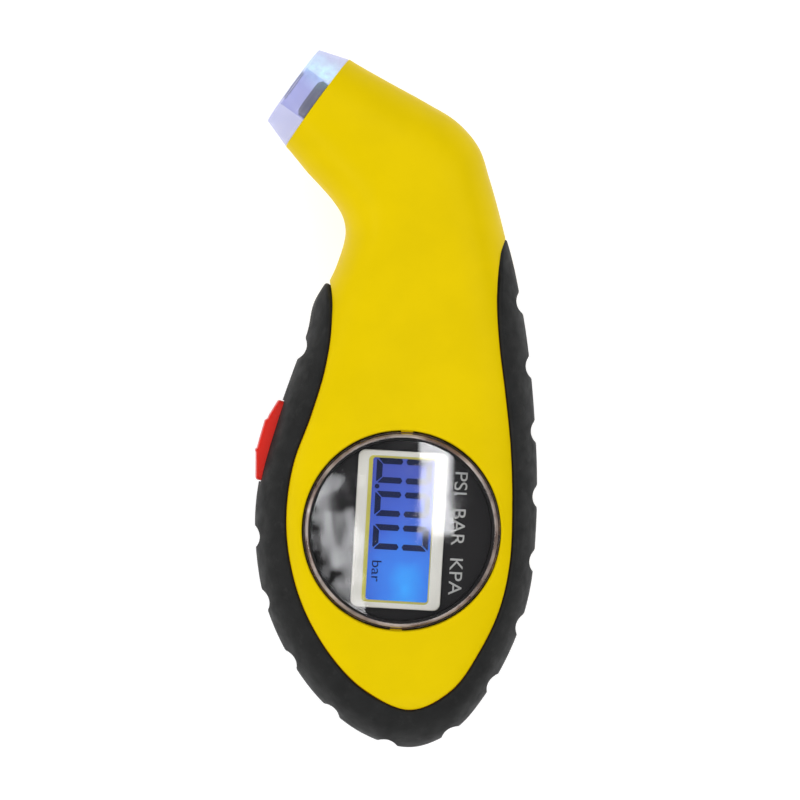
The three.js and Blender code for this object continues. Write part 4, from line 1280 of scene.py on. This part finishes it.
CROSS = {"half_width": 0.36, "reach": 1.35, "depth": 0.95, "slope": 0.16}
screw = plate(2.6, 0.1, 0.0)
x, y = np.abs(screw.points[:, 0]), np.abs(screw.points[:, 1])
from_cross = np.maximum(np.minimum(x, y) - CROSS["half_width"], np.hypot(x, y) - CROSS["reach"])
sunk = CROSS["depth"] * np.clip(0.5 - from_cross / CROSS["slope"], 0, 1)
screw.points[:, 2] = -0.05 * (x**2 + y**2) - sunk
shank = [(SCREW["radius"], -1.4), (SCREW["radius"] - 0.15, -1.6), (1.1, -1.6)]
shank += [(1.1, 0.6 - SCREW["length"]), (0.1, -SCREW["length"])]
cut_edge(screw, within_circle(SCREW["radius"]), 0.25, [to_circle(0, 0, r, z) for r, z in shank])
for number, (x, y) in enumerate(CASE_SCREWS, 1):
    at = frame_at(x, y, SCREW["bottom"], 0.9 * number, math.pi)
    put(screw, f"recessed_screw_{number}", [steel], "steel", [f"case_screw_{number}"], at)


# ------------------------------------------------------------------ finishes of the CAD's own pieces

NODE_LOOKS = {
    board: ["main_pcb"],
    brass: ["air_inlet", "contact_positive"],
    steel: ["valve_pin", "contact_negative", "coin_cell", "timing_crystal", "pressure_sensor"]
    + ["pcb_screw_1", "pcb_screw_2"],
    lamp: ["nozzle_led"],
    silicone: ["air_hose", "zebra_strip"],
    red_wire: ["led_wire_1", "battery_wire_1"],
    black_wire: ["led_wire_2", "battery_wire_2"],
    black_plastic: ["display_holder", "battery_tray", "switch_body", "switch_plunger"],
    lcd_lit: ["lcd_panel"],
    light_guide: ["backlight_panel"],
    chip_black: ["controller_chip"],
    ceramic: ["capacitor_1", "capacitor_2", "capacitor_3"],
}
for look, names in NODE_LOOKS.items():
    for name in names:
        node = frame["nodes"][name]
        for slot in node.material_slots:
            slot.material = look


# ------------------------------------------------------------------ camera, floor and lights

scene = bpy.context.scene
scene.view_settings.view_transform = "Standard"

CAMERA_HEIGHT = 1.5  # metres, as are the next two
AIM = (0.0009, -0.0002)  # where the camera stands above the object
FIELD = 0.160  # width of the view at the parting plane
REFLECTOR_HEIGHT = 3000.0  # millimetres
lens_camera = bpy.data.cameras.new("camera")
lens_camera.sensor_width = 36
lens_camera.lens = lens_camera.sensor_width * (CAMERA_HEIGHT - MID_Z * MM) / FIELD
lens_camera.clip_end = 50
camera = bpy.data.objects.new("camera", lens_camera)
camera.location = (*AIM, CAMERA_HEIGHT)
scene.collection.objects.link(camera)
scene.camera = camera


def stage_plane(name, width, length, place, look):
    mesh = bpy.data.meshes.new(name)
    w, h = width / 2, length / 2
    mesh.from_pydata([(-w, -h, 0), (w, -h, 0), (w, h, 0), (-w, h, 0)], [], [(0, 1, 2, 3)])
    mesh.materials.append(look.material)
    plane = bpy.data.objects.new(name, mesh)
    plane.location = place
    scene.collection.objects.link(plane)
    return plane


FLOOR = {"side": 8.0, "gap": 0.0002}  # in metres, the gap being below the casing
floor_look = Look("floor_paper", (0.45, 0.45, 0.45), 0.85, specular=0.1)
floor_look.set("Emission Color", (1, 1, 1))
floor_look.set("Emission Strength", 0.76)
paper = floor_look.mixed(floor_look.noise(60.0, 3.0), (0.44, 0.44, 0.44), (0.46, 0.46, 0.46))
floor_look.set("Base Color", paper)
stage_plane("floor", FLOOR["side"], FLOOR["side"], (0, 0, -FLOOR["gap"]), floor_look)


def soft_lamp(name, azimuth, elevation, distance, width, height, radiance):
    """Lamp that looks at the object. Its strength is given as the brightness of its face."""
    light = bpy.data.lights.new(name, "AREA")
    light.shape = "RECTANGLE"
    light.size, light.size_y = width, height
    light.energy = radiance * math.pi * width * height
    lamp_object = bpy.data.objects.new(name, light)
    a, e = math.radians(azimuth), math.radians(elevation)
    place = Vector((math.cos(e) * math.cos(a), math.cos(e) * math.sin(a), math.sin(e))) * distance
    lamp_object.location = place
    lamp_object.rotation_euler = (-place).to_track_quat("-Z", "Y").to_euler()
    scene.collection.objects.link(lamp_object)


LAMPS = [  # name, azimuth and elevation in degrees, distance, width and height in metres, brightness
    ("lamp_left", 196, 38, 1.7, 2.2, 0.22, 7.5),
    ("lamp_right", 20, 50, 1.8, 1.1, 1.1, 2.0),
    ("lamp_top", 100, 52, 1.9, 1.2, 1.2, 2.0),
    ("lamp_low", 285, 48, 1.8, 1.1, 1.1, 2.1),
]
for row in LAMPS:
    soft_lamp(*row)

world = bpy.data.worlds.new("studio")
world.use_nodes = True
background = world.node_tree.nodes["Background"]
background.inputs["Color"].default_value = (0.93, 0.95, 1.0, 1)
background.inputs["Strength"].default_value = 0.32
scene.world = world


def seen_in_window(x, y, height):
    """Place at a height where the camera sees the window mirror it, at the window's point (x, y)."""
    distance = CAMERA_HEIGHT / MM - LENS["top"]
    slope_x = (x - AIM[0] / MM) / distance + 2 * (x - DISPLAY["x"]) / crown_radius
    slope_y = (y - AIM[1] / MM) / distance + 2 * (y - DISPLAY["y"]) / crown_radius
    return (x + slope_x * height) * MM, (y + slope_y * height) * MM


def reflector(name, corners, strength, ragged, seed, streaks, core):
    """Glowing panel above the camera, which only the window's reflection shows.

    Its ragged edge fades out from the core, and soft streaks run through it.
    """
    x0, y0 = seen_in_window(*corners[0], REFLECTOR_HEIGHT)
    x1, y1 = seen_in_window(*corners[1], REFLECTOR_HEIGHT)
    width, length = abs(x1 - x0), abs(y1 - y0)
    look = Look(name + "_light")
    look.tree.nodes.remove(look.shader)
    axes = look.node("ShaderNodeSeparateXYZ", {0: look.place}).outputs
    inputs = {"Vector": look.place, "Scale": 3.2 / length, "Detail": 3.0, "W": seed}
    wave = look.node("ShaderNodeTexNoise", inputs, noise_dimensions="4D").outputs["Fac"]
    across = look.math("ABSOLUTE", look.math("DIVIDE", axes[0], width / 2))
    along = look.math("ABSOLUTE", look.math("DIVIDE", axes[1], length / 2))
    shift = look.remap(wave, 0.3, 0.7, -ragged, ragged)
    from_middle = look.math("ADD", look.math("MAXIMUM", across, along), shift)
    inputs = {"Vector": look.stretched((5.5 / width, 2.2 / length, 1.0)), "Scale": 1.0, "Detail": 2.0}
    bands = look.node("ShaderNodeTexNoise", inputs).outputs["Fac"]
    streak = look.remap(bands, 0.35, 0.65, 1.0 - streaks, 1.0 + streaks)
    mask = look.math("MULTIPLY", look.remap(from_middle, 1.0, core), streak)
    inputs = {"Color": (0.97, 0.97, 1.0), "Strength": look.math("MULTIPLY", mask, strength)}
    look.show(look.node("ShaderNodeEmission", inputs).outputs[0])
    centre = ((x0 + x1) / 2, (y0 + y1) / 2, REFLECTOR_HEIGHT * MM)
    panel = stage_plane(name, width, length, centre, look)
    panel.visible_diffuse = False
    panel.visible_camera = False


RIGHT = {"corners": ((4.4, -27.2), (11.4, -4.0)), "strength": 34.0, "ragged": 0.16, "core": 0.76}
LEFT = {"corners": ((-17.5, -43.0), (-6.0, -15.0)), "strength": 15.0, "ragged": 0.75, "core": 0.6}
reflector("reflector_right", seed=1.0, streaks=0.0, **RIGHT)
reflector("reflector_left", seed=4.0, streaks=0.75, **LEFT)
